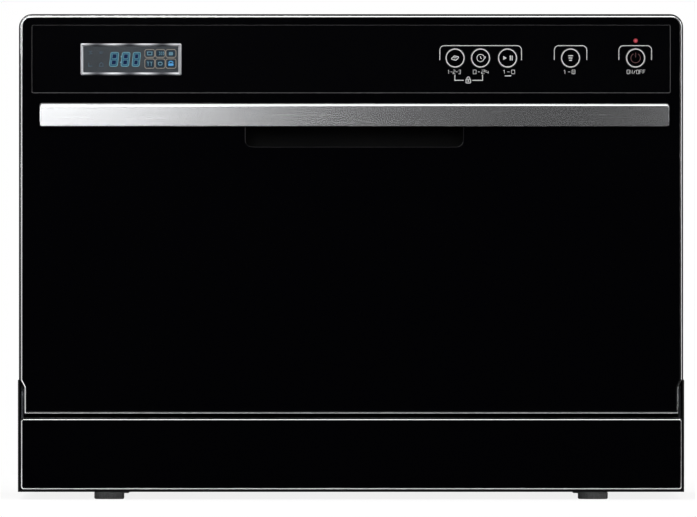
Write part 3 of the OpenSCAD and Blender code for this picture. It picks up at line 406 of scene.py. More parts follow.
def painted_and_moulded(colours):
    # Epoxy powder on steel sheet, sprayed and baked: a flatted black, faintly pebbled like orange peel
    pebbled("Powder coated steel", colours.cabinet, 0.4, (1.2, 0.02), (0.4, 0.425), Specular_IOR_Level=0.22)
    # The same powder on the galvanised rear sheet, sprayed thinner: greyer and drier
    pebbled("Powder coated rear sheet", "17181a", 0.5, (1.2, 0.03), (0.5, 0.53))
    # ABS moulded in a polished tool: a black mirror, with a faint haze where hands wipe it
    pebbled("Polished black ABS", colours.door, 0.06, (40, 0.0005), (0.04, 0.08), IOR=1.54)
    # Acrylic sheet printed black on its back: as glossy as the door and a shade deeper
    pebbled("Back printed acrylic", "030304", 0.05, (60, 0.001), (0.03, 0.08), IOR=1.49)
    # Polypropylene moulded in a spark-eroded tool: matt black with a fine even grain
    pebbled("Grained black polypropylene", "101112", 0.58, (0.6, 0.05), (0.52, 0.66), IOR=1.49)
    # The same polypropylene on the base, the hinge covers and the grip, textured deeper, and darkened as
    # painted shade so that they read as in shadow below, beside and behind the door's front
    pebbled("Grained polypropylene with painted shade", "020203", 0.75, (0.8, 0.08), (0.7, 0.82), IOR=1.49,
            Specular_IOR_Level=0.12)
    # Glass-filled nylon, moulded: dark grey, dry, with the fibres' faint mottle
    pebbled("Glass filled nylon", "2d2e31", 0.55, (0.8, 0.04), (0.48, 0.62), ("323336", "434448"), IOR=1.53)
    # Acetal, moulded: pale grey and waxy, with soft highlights
    pebbled("Moulded acetal", "b4b7ba", 0.38, (2.5, 0.01), (0.33, 0.45), IOR=1.48,
            Subsurface_Weight=0.08, Subsurface_Scale=2 * MM)
    # Unpigmented polypropylene, moulded: milky white that lets a little light in
    pebbled("Natural polypropylene", "dfe0dc", 0.42, (2, 0.015), (0.36, 0.48), IOR=1.49,
            Subsurface_Weight=0.2, Subsurface_Scale=4 * MM)
    # Filled polypropylene of the pump, moulded: blue-grey and satin
    pebbled("Pump housing", "35536a", 0.5, (0.9, 0.04), (0.44, 0.58), IOR=1.5)
    # Polypropylene of the cutlery basket, moulded: mid grey with a soft sheen on its ribs
    pebbled("Basket polypropylene", "5d666d", 0.45, (1.5, 0.02), (0.38, 0.52), IOR=1.49)


def rubber_and_coat(colours):
    # EPDM, extruded: matt grey, with a bloom that lightens it in patches
    pebbled("Extruded EPDM", "4b4d50", 0.72, (0.5, 0.03), (0.64, 0.8), ("424447", "5a5c5f"), IOR=1.5,
            Sheen_Weight=0.15, Sheen_Roughness=0.5)
    # Thermoplastic rubber of the feet, moulded: pale grey and dry
    pebbled("Moulded foot rubber", "a6a6a7", 0.66, (0.5, 0.04), (0.6, 0.74), IOR=1.5)
    # Foamed EPDM round the console, cut from sheet: an even dark grey, lighter than the black round it, which
    # is also a painted highlight for the console's edge catching the light
    pebbled("Grey console seal", "303031", 0.8, (0.4, 0.02), (0.74, 0.86), IOR=1.5)
    # Nylon powder melted on to hot steel wire: a soft satin skin, slightly uneven in thickness
    pebbled("Nylon coated wire", colours.rack, 0.36, (3, 0.06), (0.3, 0.44), IOR=1.53)

    # Corrugated hose of the same rubber: rings 3.8 mm apart along each run
    tree, shader = start_finish("Corrugated hose", "6c6e70", 0.6, IOR=1.5)
    rings = texture(tree, "Wave", 6 * MM, wave_type="BANDS", bands_direction="DIAGONAL")
    emboss(tree, shader, rings["Fac"], 0.6 * MM)

    # Expanded polystyrene of the float, steam moulded: white beads about 3 mm across
    tree, shader = start_finish("Expanded polystyrene", "e8e6de", 0.8, IOR=1.4)
    emboss(tree, shader, texture(tree, "Voronoi", 3 * MM)["Distance"], 0.25 * MM, invert=True)


# Length of the painted reflection bands along the display's foil, and the phase in which they start
REFLECTION_BAND_LENGTH = 26.8 * MM
REFLECTION_BAND_PHASE = 5.17


def metals(colours):
    # Stainless sheet with a factory-brushed face: fine lines across the width that drag the light
    brushed("Brushed stainless steel", colours.steel, "a3a4a6", 0.3, (45, 45, 0.35), 0.004, (0.22, 0.36),
            Anisotropic=0.4)
    # Aluminium strip, brushed along its length and anodised clear: broad soft glow with hairlines
    brushed("Brushed anodised aluminium", colours.strip, "c2c3c5", 0.27, (120, 30, 1.6), 0.0003,
            (0.265, 0.275), Anisotropic=0.6, Anisotropic_Rotation=0.25)
    # Aluminium extrusion, chemically brightened and anodised: a mirror-like silver line
    pebbled("Bright anodised trim", colours.trim, 0.16, (5, 0.002), (0.12, 0.2), Metallic=1.0)

    # Silver foil, hot stamped on a moulded frame: bright, with painted reflections in bands along X that dim
    # it in places
    tree, shader = pebbled("Stamped silver foil", "c0c0c0", 0.34, (5, 0.002), (0.3, 0.38), Metallic=1.0)
    painted_reflection_bands = texture(tree, "Wave", 10 * REFLECTION_BAND_LENGTH / math.pi, {"Phase Offset": REFLECTION_BAND_PHASE},
                    wave_type="BANDS", bands_direction="X")
    tint(tree, shader, painted_reflection_bands["Fac"], "3c3d41", "a6a7aa")

    # Zinc plating with clear passivate on steel: bluish silver with cloudy patches
    pebbled("Zinc plated steel", "a9adb2", 0.34, (1.5, 0.01), (0.26, 0.44), ("8e9298", "bfc3c6"),
            Metallic=1.0)
    # Steel with a phosphate coat, oiled: dark grey and silky
    pebbled("Phosphated steel", "4a4c50", 0.5, (0.7, 0.015), (0.42, 0.58), Metallic=0.7)

    # Perforated stainless of the fine filter: the mesh's holes are 0.6 mm, drawn at 1.2 mm to show, and
    # painted dark as painted shade for what is seen through them
    tree, shader = start_finish("Filter mesh", "8f9296", 0.35, Metallic=1.0)
    holes = texture(tree, "Voronoi", 1.2 * MM, {"Randomness": 0.1})
    solid = spread(tree, holes["Distance"], 0.22, 0.3, 0.0, 1.0)
    tint(tree, shader, solid, "26282b", "9da0a4")
    emboss(tree, shader, solid, 0.2 * MM)


def display_and_print(colours):
    # Tinted polycarbonate over the display: slate grey, smooth, with a dim glow from the cells behind
    tree, shader = pebbled("Tinted polycarbonate", colours.glass, 0.16, (4, 0.002), (0.13, 0.2), IOR=1.58)
    tint(tree, shader, texture(tree, "Noise", 9 * MM, {"Detail": 2.0})["Fac"], "262a2d", "32373c")

    for name, colour, strength in (
        # Backlit cell behind blue film: the pale outline of a figure
        ("Lit segment", colours.segment, 0.62),
        # The figure's body, lit through thicker film: mid teal
        ("Segment body", "2f6884", 0.75),
        # Cell inside a figure that stays off: deep navy
        ("Segment core", "0a2350", 0.7),
        # Signs that are off, glowing dull grey-blue: a painted glow for the light they catch beside them
        ("Unlit segment", "5a6d7b", 0.6),
        # Outlines of the programme symbols: warm grey
        ("Symbol outline", "9c978f", 0.7),
        # Cells behind the programme symbols, lit by what leaks past: dark grey-blue
        ("Symbol core", "243746", 0.8),
        # The programme symbols themselves: pale steel blue
        ("Symbol stroke", "6f97aa", 0.8),
        # The one symbol that is on: bright sky blue
        ("Symbol lit", "5aa5e0", 0.9),
    ):
        tree, shader = start_finish(name, colour, 0.15, IOR=1.5)
        flicker = texture(tree, "Noise", 2.5 * MM, {"Detail": 1.0})["Fac"]
        level = spread(tree, flicker, NOISE_LOW, NOISE_HIGH, strength * 0.85, strength * 1.1)
        shader.inputs["Base Color"].default_value = rgba("000000")
        shader.inputs["Emission Color"].default_value = rgba(colour)
        tree.links.new(level, shader.inputs["Emission Strength"])

    # Acrylic light pipe, moulded red and lit from behind: glows brightest at its middle
    tree, shader = start_finish("Red lamp lens", "22070a", 0.2, IOR=1.49, Specular_IOR_Level=0.2,
                                Emission_Strength=1.0)
    low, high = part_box("status_lamp")
    middle = ((low.x + high.x) / 2, low.y, (low.z + high.z) / 2)
    place = add(tree, "TexCoord").outputs["Object"]
    away = add(tree, "VectorMath", {0: place, 1: middle}, operation="DISTANCE").outputs["Value"]
    glow = spread(tree, away, 0.0, (high.x - low.x) / 2, 1.0, 0.0)
    tint(tree, shader, glow, "3c0508", colours.lamp, "Emission Color")

    # Screen-printed epoxy ink, silver-white or red: flat, and thinner in places
    for name, colour in (("Screen ink", colours.ink), ("Screen ink red", to_linear("32060a"))):
        tree, shader = start_finish(name, colour, 0.5, IOR=1.5)
        cover = texture(tree, "Noise", 0.8 * MM, {"Detail": 2.0})["Fac"]
        tint(tree, shader, cover, [c * 0.75 for c in colour[:3]], colour)

    # Glass-epoxy laminate with solder mask: bottle green and glossy, the weave just showing
    tree, shader = start_finish("Solder masked laminate", "1f5a3a", 0.3, IOR=1.55)
    emboss(tree, shader, texture(tree, "Checker", 1.2 * MM)["Fac"], 0.02 * MM)


class DISHWASHER_OT_finishes(bpy.types.Operator):
    """Makes every finish of the machine"""

    bl_idname = "dishwasher.finishes"
    bl_label = "Finishes"

    def execute(self, context):
        colours = context.scene.dishwasher_colours
        for make in (painted_and_moulded, rubber_and_coat, metals, display_and_print):
            make(colours)
        return {"FINISHED"}


# ---- Stage ----

FLOOR_HALF = 20
# The black cloth that only the gloss sees: where it starts in front of the machine, and the edge of the
# wedge it fills, as the Y of a direction
CLOTH_EDGE = (-0.3, -0.35)
CLOTH_WEDGE = (-0.74, -0.88)
# The same cloth hung up, far from the machine, and how bright it is beside it
HUNG_WEDGE = (-0.93, -0.72)
HUNG_BRIGHTEST = 0.85
SENSOR = 36

# Place, aim, width, height and watts of each soft box
LAMPS = (
    ("Key", (-0.35, -1.35, 0.83), (-0.1, -0.25, 0.3), 0.43, 0.7, 10.2),
    ("Right", (2.3, -1.15, 0.7), (0, 0, 0.2), 1.0, 1.4, 18.0),
    ("Low right", (0.54, -1.35, 0.5), (0.24, -0.25, 0.3), 0.3, 0.5, 0.95),
    ("Top", (0, -0.7, 2.6), (0, -0.1, 0.2), 2.2, 2.4, 34.0),
    ("Back", (-1.6, 2.6, 1.8), (0, 0, 0.2), 1.8, 1.4, 30.0),
)


class DISHWASHER_OT_stage(bpy.types.Operator):
    """Sets the floor, the room's light, the lamps and the camera"""

    bl_idname = "dishwasher.stage"
    bl_label = "Studio"

    def execute(self, context):
        studio = context.scene.dishwasher_studio
        self.lay_floor(context.scene)
        self.light_room(context.scene, studio)
        self.hang_lamps(context.scene, studio)
        self.place_camera(context.scene, studio)
        context.scene.view_settings.view_transform = "Standard"
        return {"FINISHED"}

    def lay_floor(self, scene):
        bm = bmesh.new()
        bm.faces.new([bm.verts.new((x * FLOOR_HALF, y * FLOOR_HALF, 0))
                      for x, y in ((-1, -1), (1, -1), (1, 1), (-1, 1))])
        mesh = bpy.data.meshes.new("Studio_floor")
        bm.to_mesh(mesh)
        bm.free()
        floor = bpy.data.objects.new("Studio_floor", mesh)
        scene.collection.objects.link(floor)
        # Painted board, rolled matt: near-white, and pure white away from the machine's shadow
        tree, shader = start_finish("Matt white floor", "f2f2f2", 0.85, IOR=1.4)
        mesh.materials.append(bpy.data.materials["Matt white floor"])
        place = add(tree, "TexCoord").outputs["Object"]
        ray = add(tree, "LightPath").outputs
        away = add(tree, "VectorMath", {0: place}, operation="LENGTH").outputs["Value"]
        seen = maths(tree, "MULTIPLY", ray["Is Camera Ray"], eased(tree, away, 0.4, 1.6, 0.85, 1.0))
        white = add(tree, "Emission", {"Color": rgba("ffffff"), "Strength": 1.0})
        board = add(tree, "MixShader", {0: seen, 1: shader.outputs[0], 2: white.outputs[0]})
        # The cloth lies on the floor too, where only the gloss of the door sees it
        ahead = eased(tree, self.depth_of(tree, place), *CLOTH_EDGE, 0.0, 1.0)
        offset = add(tree, "VectorMath", {0: place, 1: (0, CLOTH_EDGE[0], 0)}, operation="ADD")
        bearing = add(tree, "VectorMath", {0: offset.outputs[0]}, operation="NORMALIZE")
        wedge = eased(tree, self.depth_of(tree, bearing.outputs[0]), *CLOTH_WEDGE, 0.0, 1.0)
        patch = maths(tree, "MULTIPLY", ahead, wedge)
        cloth = maths(tree, "MULTIPLY", ray["Is Glossy Ray"], patch)
        black = add(tree, "Emission", {"Color": rgba("000000"), "Strength": 0.0})
        whole = add(tree, "MixShader", {0: cloth, 1: board.outputs[0], 2: black.outputs[0]})
        output = next(n for n in tree.nodes if n.type == "OUTPUT_MATERIAL")
        tree.links.new(whole.outputs[0], output.inputs["Surface"])

    def depth_of(self, tree, vector):
        """How far forward or back a place or a direction is."""
        return add(tree, "SeparateXYZ", {0: vector}).outputs["Y"]

    def light_room(self, scene, studio):
        world = bpy.data.worlds.new("Studio room")
        scene.world = world
        world.use_nodes = True
        tree = world.node_tree
        tree.nodes.clear()
        # White where the camera looks, pale in reflections, and dark straight in front of the door,
        # where the photographer's black cloth hangs
        ray = add(tree, "LightPath").outputs
        forward = self.depth_of(tree, add(tree, "TexCoord").outputs["Generated"])
        cloth = eased(tree, forward, *HUNG_WEDGE, 0.0, HUNG_BRIGHTEST)
        shiny = add(tree, "Mix", {0: ray["Is Glossy Ray"], 2: studio.surround * studio.level, 3: cloth})
        clear = maths(tree, "MAXIMUM", ray["Is Camera Ray"], ray["Is Transmission Ray"])
        level = add(tree, "Mix", {0: clear, 2: shiny.outputs[0], 3: 1.0})
        back = add(tree, "Background", {"Color": rgba("ffffff"), "Strength": level.outputs[0]})
        add(tree, "OutputWorld", {"Surface": back.outputs[0]})

    def hang_lamps(self, scene, studio):
        for name, place, aim, width, height, watts in LAMPS:
            lamp = bpy.data.lights.new(name, "AREA")
            lamp.shape = "RECTANGLE"
            lamp.size, lamp.size_y = width, height
            lamp.energy = watts * studio.level
            obj = bpy.data.objects.new(name, lamp)
            obj.location = place
            obj.rotation_euler = (Vector(aim) - Vector(place)).to_track_quat("-Z", "Y").to_euler()
            scene.collection.objects.link(obj)

    def place_camera(self, scene, studio):
        lens = bpy.data.cameras.new("Camera")
        lens.sensor_width = SENSOR
        lens.lens = SENSOR * studio.distance / (PHOTO_WIDTH * PIXEL)
        lens.clip_start, lens.clip_end = 0.1, 60
        camera = bpy.data.objects.new("Camera", lens)
        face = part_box("door_outer_panel")[0].y
        camera.location = (FRAME_MIDDLE_X, face - studio.distance, FRAME_MIDDLE_Z)
        camera.rotation_euler = (math.radians(90), 0, 0)
        scene.collection.objects.link(camera)
        scene.camera = camera


# ---- Cabinet ----


def stepped(node, *rows):
    """Round rectangles that step in from the front of a solid's box. A row has, in mm, the insets at the
    left, right, foot and top, the corner's radius, and the depth, where None is the solid's back."""
    low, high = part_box(node)
    return [at(rect(low.x + left * MM, high.x - right * MM, low.z + foot * MM, high.z - top * MM,
                    corner * MM), high.y if depth is None else low.y + depth * MM)
            for left, right, foot, top, corner, depth in rows]


class DISHWASHER_OT_cabinet(bpy.types.Operator):
    """Dresses the cabinet, base and plinth"""

    bl_idname = "dishwasher.cabinet"
    bl_label = "Cabinet"

    def execute(self, context):
        edge = context.scene.dishwasher_sizes.edge / MM
        dress(("Powder coated steel", edge / 3, "outer_wrap"),
              ("Powder coated rear sheet", edge / 2, "rear_panel"),
              ("Grained polypropylene with painted shade", edge / 4, "base_tray", "hinge_covers"),
              ("Polished black ABS", edge, "plinth_panel"),
              ("Zinc plated steel", edge, "cabinet_screws"),
              ("Grained black polypropylene", edge, "terminal_box"))
        # Bright bead pressed round the plinth panel, sloped outwards as the door's is
        loops = stepped("plinth_edge_trim", (0, 0, 0, 0, 2.6, 2.4), (0, 0, 0, 0, 2.6, 0.45),
                        (0.75, 0.05, 0.02, 1.35, 2.2, 0.45), (1.4, 0.5, 0.8, 1.95, 1.65, 0),
                        (1.7, 1.3, 1.3, 2.2, 1.1, 0), (1.7, 1.3, 1.3, 2.2, 1.1, 2.4))
        skinned("plinth_bead", loops, "Bright anodised trim", "cabinet", "bright_trim",
                ("plinth_edge_trim",), smooth=15)
        return {"FINISHED"}


class DISHWASHER_OT_feet(bpy.types.Operator):
    """Makes the four feet: a ribbed rubber pad, and a threaded stem on each front foot"""

    bl_idname = "dishwasher.feet"
    bl_label = "Feet"

    def execute(self, context):
        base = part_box("base_tray")[0].z
        for node, body in (("front_foot_left", "foot_left"), ("front_foot_right", "foot_right")):
            low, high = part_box(node)
            centre = ((low.x + high.x) / 2, (low.y + high.y) / 2, 0)
            bm = bmesh.new()
            self.pad(bm, centre, (high.x - low.x) / 2, base - 0.2 * MM)
            self.stem(bm, centre, base - 0.4 * MM, high.z)
            new_piece(node + "_pad", bm, "Moulded foot rubber", body, "foot_rubber", (node,))
        low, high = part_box("rear_feet")
        radius = (high.y - low.y) / 2
        bm = bmesh.new()
        for side in (-1, 1):
            self.pad(bm, (side * (high.x - radius), (low.y + high.y) / 2, 0), radius, high.z)
        new_piece("rear_foot_pads", bm, "Moulded foot rubber", "cabinet", "foot_rubber", ("rear_feet",))
        return {"FINISHED"}

    def pad(self, bm, centre, radius, height):
        """A pad with upright ribs, standing on a flat ring."""
        r, h, rib = radius / MM, height / MM, 0.5
        turned(bm, mm((r * 0.55, 0.5), (r * 0.6, 0), (r - 1.1, 0), (r - 0.3, 0.4), (r, 1.2, rib),
                      (r, h - 1, rib), (r - 0.2, h - 0.5), (r - 0.8, h)), centre, "Z", sides=144, teeth=36)

    def stem(self, bm, centre, bottom, top):
        """An M8 thread, drawn as rings."""
        pitch, root, crest = 1.25 * MM, 3.45 * MM, 4 * MM
        profile, z = [], bottom
        while z < top - pitch:
            profile += [(root, z), (crest, z + pitch * 0.45), (crest, z + pitch * 0.55)]
            z += pitch
        turned(bm, profile + [(3.4 * MM, top)], centre, "Z", sides=24)


# The inlet's thread, G3/4: its crest, its depth, and the lengths over which it fades in, fades out and
# is chamfered at the mouth. It is drawn in fine steps along Y, with some before it, inside the collar
CREST = 13.2 * MM
THREAD_DEPTH = 0.9 * MM
FADE_IN, FADE_OUT, LEAST_FADE = 3 * MM, 1.2 * MM, 0.15
CHAMFER = 0.8 * MM
THREAD_STEP = 0.22 * MM
STEPS_BEFORE = 8
THREAD_SIDES = 64
# The bore of the inlet's pipe
BORE = 9.2 * MM


class DISHWASHER_OT_connections(bpy.types.Operator):
    """Makes the water inlet with its thread, and dresses the drain spigot"""

    bl_idname = "dishwasher.connections"
    bl_label = "Water connections"

    def execute(self, context):
        dress(("Glass filled nylon", 0.3, "drain_outlet"))
        low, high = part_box("inlet_valve")
        x, z = (low.x + high.x) / 2, (low.z + high.z) / 2
        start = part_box("rear_panel")[1].y
        bm = bmesh.new()
        self.thread(bm, (x, start, z), high.y - start, context.scene.dishwasher_sizes.pitch)
        # Collar that bears on the rear panel
        turned(bm, mm((13, -0.2), (14.8, -0.2), (15.2, -0.6), (15.2, -1.3), (18, -1.4), (18.2, -1.8),
                      (18.2, -6.2), (17.6, -7.2), (13, -7.2)), (x, start, z), "Y", closed=True)
        # The valve's body behind it
        half, end = 16 * MM, start - 7 * MM
        skin(bm, [at(rect(x - h, x + h, z - h * 1.12, z + h * 1.12, 3 * MM), y)
                  for h, y in ((half - 1 * MM, low.y), (half, low.y + 1 * MM), (half, end - 0.5 * MM),
                               (half - 0.5 * MM, end))], caps=True)
        new_piece("inlet_with_thread", bm, "Natural polypropylene", "cabinet", "white_plastic",
                  ("inlet_valve",))
        # Inlet strainer: a dished mesh set 5 mm inside the mouth
        bm = bmesh.new()
        turned(bm, mm((9.1, -5.6), (9.1, -5), (6, -5.8), (0.6, -6.4)), (x, high.y, z), "Y", sides=32)
        new_piece("inlet_strainer", bm, "Filter mesh", "cabinet", "white_plastic")
        return {"FINISHED"}

    def thread(self, bm, centre, length, pitch):
        """A pipe with a helical thread, from centre back along Y."""
        turns = [i / THREAD_SIDES for i in range(THREAD_SIDES)]

        def ring(y, radii):
            x, start, z = centre
            return [(x + r * math.sin(2 * math.pi * t), start + y, z + r * math.cos(2 * math.pi * t))
                    for t, r in zip(turns, radii)]

        loops = []
        steps = int(length / THREAD_STEP)
        for k in range(-STEPS_BEFORE, steps + 1):
            y = length * k / steps
            left = length - y
            fade = min(1.0, max(0.0, y / FADE_IN)) * min(1.0, max(LEAST_FADE, left / FADE_OUT))
            outer = CREST - max(0.0, CHAMFER - left) * 0.8
            cuts = [1 - abs(2 * ((y / pitch - t) % 1.0) - 1) * 1.35 for t in turns]
            loops.append(ring(y, [outer - min(max(cut, 0.0), 1.0) * THREAD_DEPTH * fade for cut in cuts]))
        for r, y in ((BORE + 0.6 * MM, length), (BORE, length - 0.6 * MM), (BORE, -2 * MM)):
            loops.append(ring(y, [r] * THREAD_SIDES))
        skin(bm, loops, closed=True)


class DISHWASHER_OT_machinery(bpy.types.Operator):
    """Dresses the pumps, hoses, reservoir, float and hinges inside the base"""

    bl_idname = "dishwasher.machinery"
    bl_label = "Machinery"

    def execute(self, context):
        dress(("Grained black polypropylene", 0.6, "sump", "drain_pump"),
              ("Pump housing", 0.8, "circulation_pump"),
              ("Corrugated hose", 0, "internal_hoses"),
              ("Natural polypropylene", 0.8, "salt_reservoir"),
              ("Grained black polypropylene", 0.4, "float_switch"),
              ("Expanded polystyrene", 0.8, "leak_float"),
              ("Phosphated steel", 0.2, "hinge_brackets", "hinge_arms"),
              ("Solder masked laminate", 0.1, "control_board"),
              ("Grained black polypropylene", 0.3, "latch_housing"),
              ("Zinc plated steel", 0.3, "latch_strike", "latch_hook"))
        return {"FINISHED"}


# ---- Inside the tub ----


class DISHWASHER_OT_tub(bpy.types.Operator):
    """Dresses the tub, its runners, filter and salt cap, and makes its seal and the filter's mesh"""

    bl_idname = "dishwasher.tub"
    bl_label = "Tub"

    def execute(self, context):
        dress(("Brushed stainless steel", 0.1, "tub"),
              ("Brushed stainless steel", 0.4, "rack_runners"),
              ("Brushed stainless steel", 0.15, "filter_plate"),
              ("Glass filled nylon", 0.4, "filter_cup", "spray_hub"),
              ("Moulded acetal", 0.5, "salt_cap"))
        self.seal()
        self.cup_mesh()
        return {"FINISHED"}

    def seal(self):
        """Rubber seal round the tub's mouth: two soft ridges with a groove between them."""
        low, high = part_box("tub_gasket")
        corner, low_corner = 20 * MM, 1.5 * MM
        loops = []
        # Inset in mm, and how far it stands out, as a share of the depth
        for inset, out in ((0, 0), (0, 0.62), (0.8, 0.9), (1.6, 1), (2.2, 0.82), (2.8, 0.55), (3.4, 0.82),
                           (4.2, 1), (5, 0.9), (5.8, 0.6), (5.9, 0)):
            e = inset * MM
            loops.append(at(rect(low.x + e, high.x - e, low.z + e, high.z - e, corner - e, 8, low_corner - e),
                            high.y - (high.y - low.y) * out))
        skinned("tub_seal", loops, "Extruded EPDM", "cabinet", "seal_rubber", ("tub_gasket",), smooth=50)

    def cup_mesh(self):
        """Fine mesh wrapped round the filter cup below its rim."""
        low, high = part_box("filter_cup")
        inner, outer, foot, rim = 26.8 * MM, 27.2 * MM, low.z + 4 * MM, high.z - 16 * MM
        bm = bmesh.new()
        turned(bm, ((outer, foot), (outer, rim), (inner, rim), (inner, foot)),
               ((low.x + high.x) / 2, (low.y + high.y) / 2, 0), "Z", closed=True)
        new_piece("filter_cup_mesh", bm, "Filter mesh", "filter", "grey_plastic")


# The spray arm's section, as shares of half its width and of its height, and the level of its seam
SECTION = ((-1, 0.42), (-0.96, 0.5), (-0.86, 0.56), (-0.6, 0.84), (-0.25, 0.93), (0.25, 0.93), (0.6, 0.84),
           (0.86, 0.56), (0.96, 0.5), (1, 0.42), (0.9, 0.36), (0.75, 0.1), (0.4, 0), (-0.4, 0),
           (-0.75, 0.1), (-0.9, 0.36))
SEAM = 0.46
# Half the arm's width at its hub's side and at its round tip, and the number of sections along it
ROOT_HALF, TIP_HALF = 19 * MM, 11.8 * MM
STATIONS = 64


class DISHWASHER_OT_spray_arm(bpy.types.Operator):
    """Makes the spray arm from two pressed shells with a crimped seam and nozzles"""

    bl_idname = "dishwasher.spray_arm"
    bl_label = "Spray arm"

    def execute(self, context):
        low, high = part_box("spray_arm")
        reach, middle_y, height = high.x, (low.y + high.y) / 2, high.z - low.z
        loops = []
        for k in range(STATIONS + 1):
            # The ends are round, so the stations crowd towards them
            x = reach * math.sin(math.pi * (k / STATIONS - 0.5))
            half = self.half_width(abs(x), reach, (high.y - low.y) / 2)
            crown = 0.35 + 0.65 * math.sqrt(max(0.0, 1 - (abs(x) / reach) ** 6))
            loops.append([(x, middle_y + half * side, low.z + height * (SEAM + (up - SEAM) * crown))
                          for side, up in SECTION])
        bm = bmesh.new()
        skin(bm, loops, caps=True)
        for k in range(6):
            for side in (-1, 1):
                place = (side * (36 + 26 * k) * MM, middle_y + side * 5 * MM, low.z + height * 0.9)
                self.nozzle(bm, place, height * 0.1)
        # Raised ring over the bearing
        turned(bm, ((14 * MM, height * 0.86), (12.5 * MM, height * 0.99), (6.2 * MM, height * 0.99),
                    (6.2 * MM, height * 0.86)), (0, middle_y, low.z), "Z", closed=True)
        new_piece("spray_arm_pressing", bm, "Brushed stainless steel", "spray", "grey_plastic",
                  ("spray_arm",), smooth=50)
        return {"FINISHED"}

    def half_width(self, x, reach, widest):
        """Half the width at x: a round hub, a taper and a round tip."""
        if x > reach - TIP_HALF:
            return max(0.4 * MM, math.sqrt(max(0.0, TIP_HALF ** 2 - (x - reach + TIP_HALF) ** 2)))
        taper = ROOT_HALF + (TIP_HALF - ROOT_HALF) * x / (reach - TIP_HALF)
        return max(taper, math.sqrt(max(0.0, widest ** 2 - x ** 2)))

    def nozzle(self, bm, centre, height):
        turned(bm, ((3.4 * MM, -0.5 * MM), (3 * MM, height * 0.6), (2.4 * MM, height * 0.9),
                    (1.4 * MM, height * 0.9), (1.2 * MM, height * 0.2)), centre, "Z", sides=20)


# The rack's wires: the bend at a corner, and the parts that they divide the width and the depth into
BEND = 6 * MM
ACROSS, ALONG = 16, 12
# Tines in a row, and how much thinner they are than the other wires
TINES, THINNER = 12, 0.15 * MM
# An axle's radius and distance from the rack's side
AXLE = ((3, -1), (3, 13.6), (5, 13.6), (5, 14.6), (4.4, 15))
# The cup shelf's pin, its wire, half its length and its crossing wires as a share of the outer one
PIN_RADIUS, SHELF_WIRE, SHELF_HALF, CROSSING = 2 * MM, 1.5 * MM, 118 * MM, 0.8


def between(start, end, parts):
    """Values that divide a length into equal parts, without its ends."""
    return [start + (end - start) * i / parts for i in range(1, parts)]


